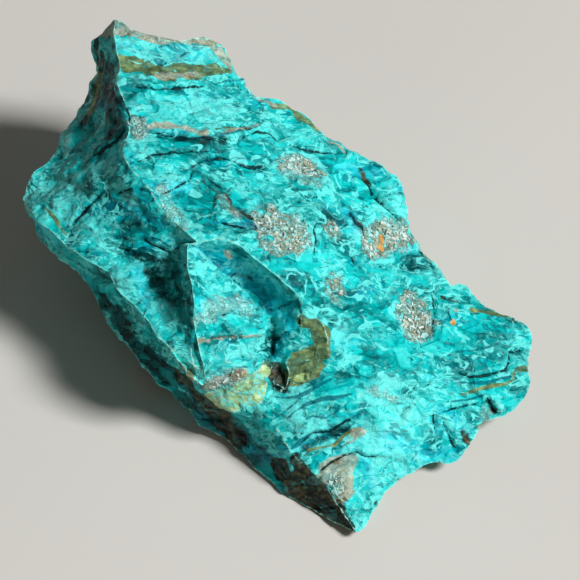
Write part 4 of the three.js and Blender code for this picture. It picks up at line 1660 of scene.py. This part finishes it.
    def grain(self) -> None:
        """Lays the grey granular ground of the grain patches, and thinner mottled patches."""
        margin, mottle_cover, cover = 0.8, 0.55, 0.72
        distance = self.graph.stored(Mark.GRAIN.value) - margin
        grained = self.mask(distance, 3.6, 0.55, 0.9) * (1.0 - self.masks[Mark.OCHRE])
        self.grained = self.graph.most(grained, self.masks[Mark.MOTTLE] * mottle_cover)
        self.lay(self.grained * cover, self.speckle["Colour"])

    def crack(self) -> None:
        """Darkens the seams and thin vein lines between bands, and paints shade into the carved cracks."""
        graph = self.graph
        seam_cover, crack_shade_cover, line_cover = 0.85, 0.95, 0.7
        narrowing, line_level, line_width = 0.07, 0.44, 0.014
        self.lay(self.masks[Mark.SEAM] * seam_cover, self.finish.seam)
        # Painted shade inside the carved cracks.
        crack = self.mask(graph.stored(Mark.CRACK.value) + narrowing, 0.25, 0.09, 1.2)
        line = 1.0 - graph.step(abs(graph.noise(self.streaked, 0.16, 2.0, 0.4) - line_level), 0.0, line_width)
        line = line * graph.step(graph.noise(self.place, 0.1, 2.0), 0.5, 0.6) * line_cover
        self.lay(graph.most(crack * crack_shade_cover, line), self.finish.shadow)

    def relief(self) -> Signal:
        """The finish's finest relief.

        Returns:
            The bent normal.
        """
        strength, distance = 0.85, 0.6 * MM
        fine_rise, cloud_rise, speckle_rise = 0.5, 0.3, 0.9
        height = self.web["Height"] + self.fine_web["Height"] * fine_rise
        height = height + self.graph.noise(self.place, 1.1, 1.0) * cloud_rise
        height = height + self.speckle["Height"] * self.grained * speckle_rise
        return self.graph.bump(strength, distance, height)

    def roughness(self) -> Signal:
        """How matt the surface is, most on crust and grains.

        Returns:
            The roughness.
        """
        unevenness, matt = 0.24, 0.3
        waxy = self.graph.noise(self.layered, 0.7, 3.0) * unevenness + (self.finish.wax - unevenness / 2)
        return waxy + self.graph.most(self.grained, self.crusted) * matt


@dataclass(frozen=True)
class GrainFinish:
    """The finish of the small mineral grains.

    Attributes:
        roughness: Roughness of a grain.
        speckle_scale: Speckles to a millimetre.
        speckle_share: How much of the speckle shows over a grain's own colour.
    """

    roughness: float = 0.5
    speckle_scale: float = 3.4
    speckle_share: float = 0.25

    def build(self, effects: Effects) -> bpy.types.Material:
        """Makes the material.

        Args:
            effects: The shared node groups.

        Returns:
            The material, ready for the grains.
        """
        strength, distance = 0.4, 0.08 * MM
        material, graph, inputs = new_material("mineral_grains")
        speckle = graph.group(effects.speckle, vector=graph.place() * (1.0 / MM), scale=self.speckle_scale)
        tints = {0.0: "7c6c50", 0.08: "b0a386", 0.2: "dde8de", 0.55: "f8f9f2"}
        tints |= {0.76: "b4ebe6", 0.88: "dccdb0", 1.0: "b69a72"}
        own = graph.ramp(graph.stored("grain_tone"), tints)
        graph.feed(inputs["Base Color"], graph.mix(self.speckle_share, own, speckle["Colour"]))
        graph.feed(inputs["Normal"], graph.bump(strength, distance, speckle["Height"]))
        inputs["Roughness"].default_value = self.roughness
        return material


@dataclass
class PocketGrains:
    """The small grains that fill the rough grey patches. Lengths are in metres.

    Attributes:
        spacing: The least distance between two grains.
        size: A grain's usual width.
        seed: Which scatter is used.
        density: The most grains to a square metre.
        least: The least stretch of a grain along its three sides.
        greatest: The greatest stretch.
    """

    spacing: float = 0.72 * MM
    size: float = 0.8 * MM
    seed: int = 5
    density: float = 9.0e6
    least: Triple = (0.7, 0.45, 0.3)
    greatest: Triple = (2.0, 1.0, 0.5)

    def build(self, skin: Piece, material: bpy.types.Material) -> Piece:
        """Scatters the grains over the skin's patches.

        Args:
            skin: The stone's skin.
            material: The grains' finish.

        Returns:
            The grains as one mesh object.
        """
        tree, sockets = self.scatter_tree(material)
        grains = placed("pocket_grains", skin.data.copy())
        scatter = grains.modifiers.new("scatter", "NODES")
        scatter.node_group = tree
        scatter[sockets["Spacing"]] = self.spacing
        scatter[sockets["Size"]] = self.size
        scatter[sockets["Seed"]] = self.seed
        apply_modifiers(grains)
        return grains

    def scatter_tree(self, material: bpy.types.Material) -> tuple[bpy.types.NodeTree, dict[str, str]]:
        """Builds the tree that scatters grains where the grain patches lie.

        Args:
            material: The grains' finish.

        Returns:
            The tree, and each named input's identifier.
        """
        tree = bpy.data.node_groups.new("grain_scatter", "GeometryNodeTree")
        kinds = {"Geometry": "Geometry", "Spacing": "Float", "Size": "Float", "Seed": "Int"}
        sockets = {}
        for name, kind in kinds.items():
            socket = tree.interface.new_socket(name=name, in_out="INPUT", socket_type=f"NodeSocket{kind}")
            sockets[name] = socket.identifier
        tree.interface.new_socket(name="Geometry", in_out="OUTPUT", socket_type="NodeSocketGeometry")
        graph = Graph(tree)
        given = graph.signals(graph.add("NodeGroupInput"))
        points = self.grain_points(graph, given)
        limits = {0: self.least, 1: self.greatest}
        turn = graph.made("FunctionNodeRandomValue", 0, {1: (math.tau,) * 3}, data_type="FLOAT_VECTOR")
        placing = {
            "Points": points,
            "Instance": self.grain_shapes(graph, given["Size"]),
            "Pick Instance": True,
            "Rotation": graph.made("FunctionNodeEulerToRotation", 0, {0: turn}),
            "Scale": graph.made("FunctionNodeRandomValue", 0, limits, data_type="FLOAT_VECTOR"),
        }
        placed = graph.made("GeometryNodeInstanceOnPoints", 0, placing)
        tone = graph.made("FunctionNodeRandomValue", 1, {}, data_type="FLOAT")
        toned = {"Name": "grain_tone", "Geometry": placed, "Value": tone}
        kept = graph.made("GeometryNodeStoreNamedAttribute", 0, toned, data_type="FLOAT", domain="INSTANCE")
        real = graph.made("GeometryNodeRealizeInstances", 0, {0: kept})
        dressed = graph.made("GeometryNodeSetMaterial", 0, {"Geometry": real, "Material": material})
        graph.feed(graph.add("NodeGroupOutput").inputs[0], dressed)
        return tree, sockets

    def grain_points(self, graph: Graph, given: dict[str, Signal]) -> Signal:
        """Scatters points inside the grain patches and clear of the ochre spots.

        Args:
            graph: The scatter tree's graph.
            given: What comes into the tree.

        Returns:
            The points.
        """
        kind = "GeometryNodeInputNamedAttribute"
        patch, spot = (
            graph.made(kind, "Attribute", {"Name": mark.value}, data_type="FLOAT")
            for mark in (Mark.GRAIN, Mark.OCHRE)
        )
        scattering = {
            "Mesh": given["Geometry"],
            "Distance Min": given["Spacing"],
            "Density Max": self.density,
            "Density Factor": graph.step(patch, 0.5, -1.8) * graph.step(spot, 0.2, 0.6),
            "Seed": given["Seed"],
        }
        kind = "GeometryNodeDistributePointsOnFaces"
        return graph.made(kind, "Points", scattering, distribute_method="POISSON")

    @staticmethod
    def grain_shapes(graph: Graph, size: Signal) -> Signal:
        """The two shapes of grain: a rounded one and a blocky one.

        Args:
            graph: The scatter tree's graph.
            size: The usual width of a grain.

        Returns:
            Both shapes as instances to pick from.
        """
        radius_share, block_shares = 0.55, (0.85, 0.7, 0.95)
        ball = {"Radius": size * radius_share, "Subdivisions": 1}
        rounded = graph.made("GeometryNodeMeshIcoSphere", 0, ball)
        block = graph.made("GeometryNodeMeshCube", 0, {"Size": graph.scaled(block_shares, size)})
        both = graph.add("GeometryNodeGeometryToInstance")
        graph.feed(both.inputs[0], rounded)
        graph.feed(both.inputs[0], block)
        return Signal(graph, both.outputs[0])


@dataclass(frozen=True)
class Studio:
    """A pale floor, one soft key light and an even fill.

    Attributes:
        key_view: Direction to the key light, along the picture's right, into the scene and up.
        key_distance: From the stone to the key light, in metres.
        key_side: The key light's side, in metres.
        key_power: The key light's power, in watts.
        fill: The brightness of the surroundings as a light.
        backdrop: The brightness of the surroundings as they are seen.
        floor_side: The floor's side, in metres.
    """

    key_view: Triple = (0.62, -0.22, 0.75)
    key_distance: float = 1.8
    key_side: float = 0.4
    key_power: float = 38.0
    fill: float = 0.12
    backdrop: float = 0.72
    floor_side: float = 8.0

    def build(self, viewpoint: Viewpoint) -> None:
        """Makes the floor, the lights and the surroundings.

        Args:
            viewpoint: The camera's viewpoint, which the key light's direction is counted from.
        """
        self.build_floor()
        self.build_key(viewpoint)
        world = bpy.data.worlds.new("surroundings")
        world.use_nodes = True
        background = world.node_tree.nodes["Background"]
        background.inputs["Color"].default_value = paint("eceae6")
        graph = Graph(world.node_tree)
        seen = graph.signals(graph.add("ShaderNodeLightPath"))["Is Camera Ray"]
        graph.feed(background.inputs["Strength"], seen * (self.backdrop - self.fill) + self.fill)
        bpy.context.scene.world = world
        bpy.context.scene.view_settings.view_transform = "Standard"

    def build_floor(self) -> None:
        """Makes the floor, with a faint mottle."""
        half = self.floor_side / 2
        below, mottle_scale, roughness = -0.02 * MM, 6.0, 0.8
        mesh = bpy.data.meshes.new("floor")
        corners = [(-half, -half, below), (half, -half, below), (half, half, below), (-half, half, below)]
        mesh.from_pydata(corners, [], [(0, 1, 2, 3)])
        material, graph, inputs = new_material("pale_floor")
        mottle = graph.noise(graph.place(), mottle_scale)
        graph.feed(inputs["Base Color"], graph.ramp(mottle, {0.3: "cfccc6", 0.7: "d6d3cd"}))
        inputs["Roughness"].default_value = roughness
        mesh.materials.append(material)
        floor = placed("floor", mesh)

    def build_key(self, viewpoint: Viewpoint) -> None:
        """Makes the key light.

        Args:
            viewpoint: The camera's viewpoint.
        """
        turn = Matrix.Rotation(math.radians(viewpoint.azimuth), 3, "Z")
        toward = (turn @ Vector(self.key_view)).normalized()
        data = bpy.data.lights.new("key_light", "AREA")
        data.size = self.key_side
        data.energy = self.key_power
        light = placed("key_light", data)
        light.location = Vector(viewpoint.target) + toward * self.key_distance
        light.rotation_euler = toward.to_track_quat("Z", "Y").to_euler()


def ride_stone(piece: Piece) -> None:
    """Fixes a finished piece to the stone's body and logs how many faces it has.

    Args:
        piece: The finished piece.
    """
    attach(piece, "root")
    LOG.info("%s: %d faces", piece.name, len(piece.data.polygons))


def main() -> None:
    """Builds the specimen, the studio and the camera."""
    logging.basicConfig(level=logging.INFO, format="%(name)s: %(message)s")
    viewpoint = Viewpoint()
    viewpoint.build()
    Studio().build(viewpoint)
    effects = Effects()
    skin = BrokenSkin(STONE_NODE, viewpoint).build()
    skin.data.materials.clear()
    skin.data.materials.append(OpalFinish().build(effects))
    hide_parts(STONE_NODE)
    ride_stone(skin)
    grains = PocketGrains().build(skin, GrainFinish().build(effects))
    ride_stone(grains)


if __name__ == "__main__":
    main()
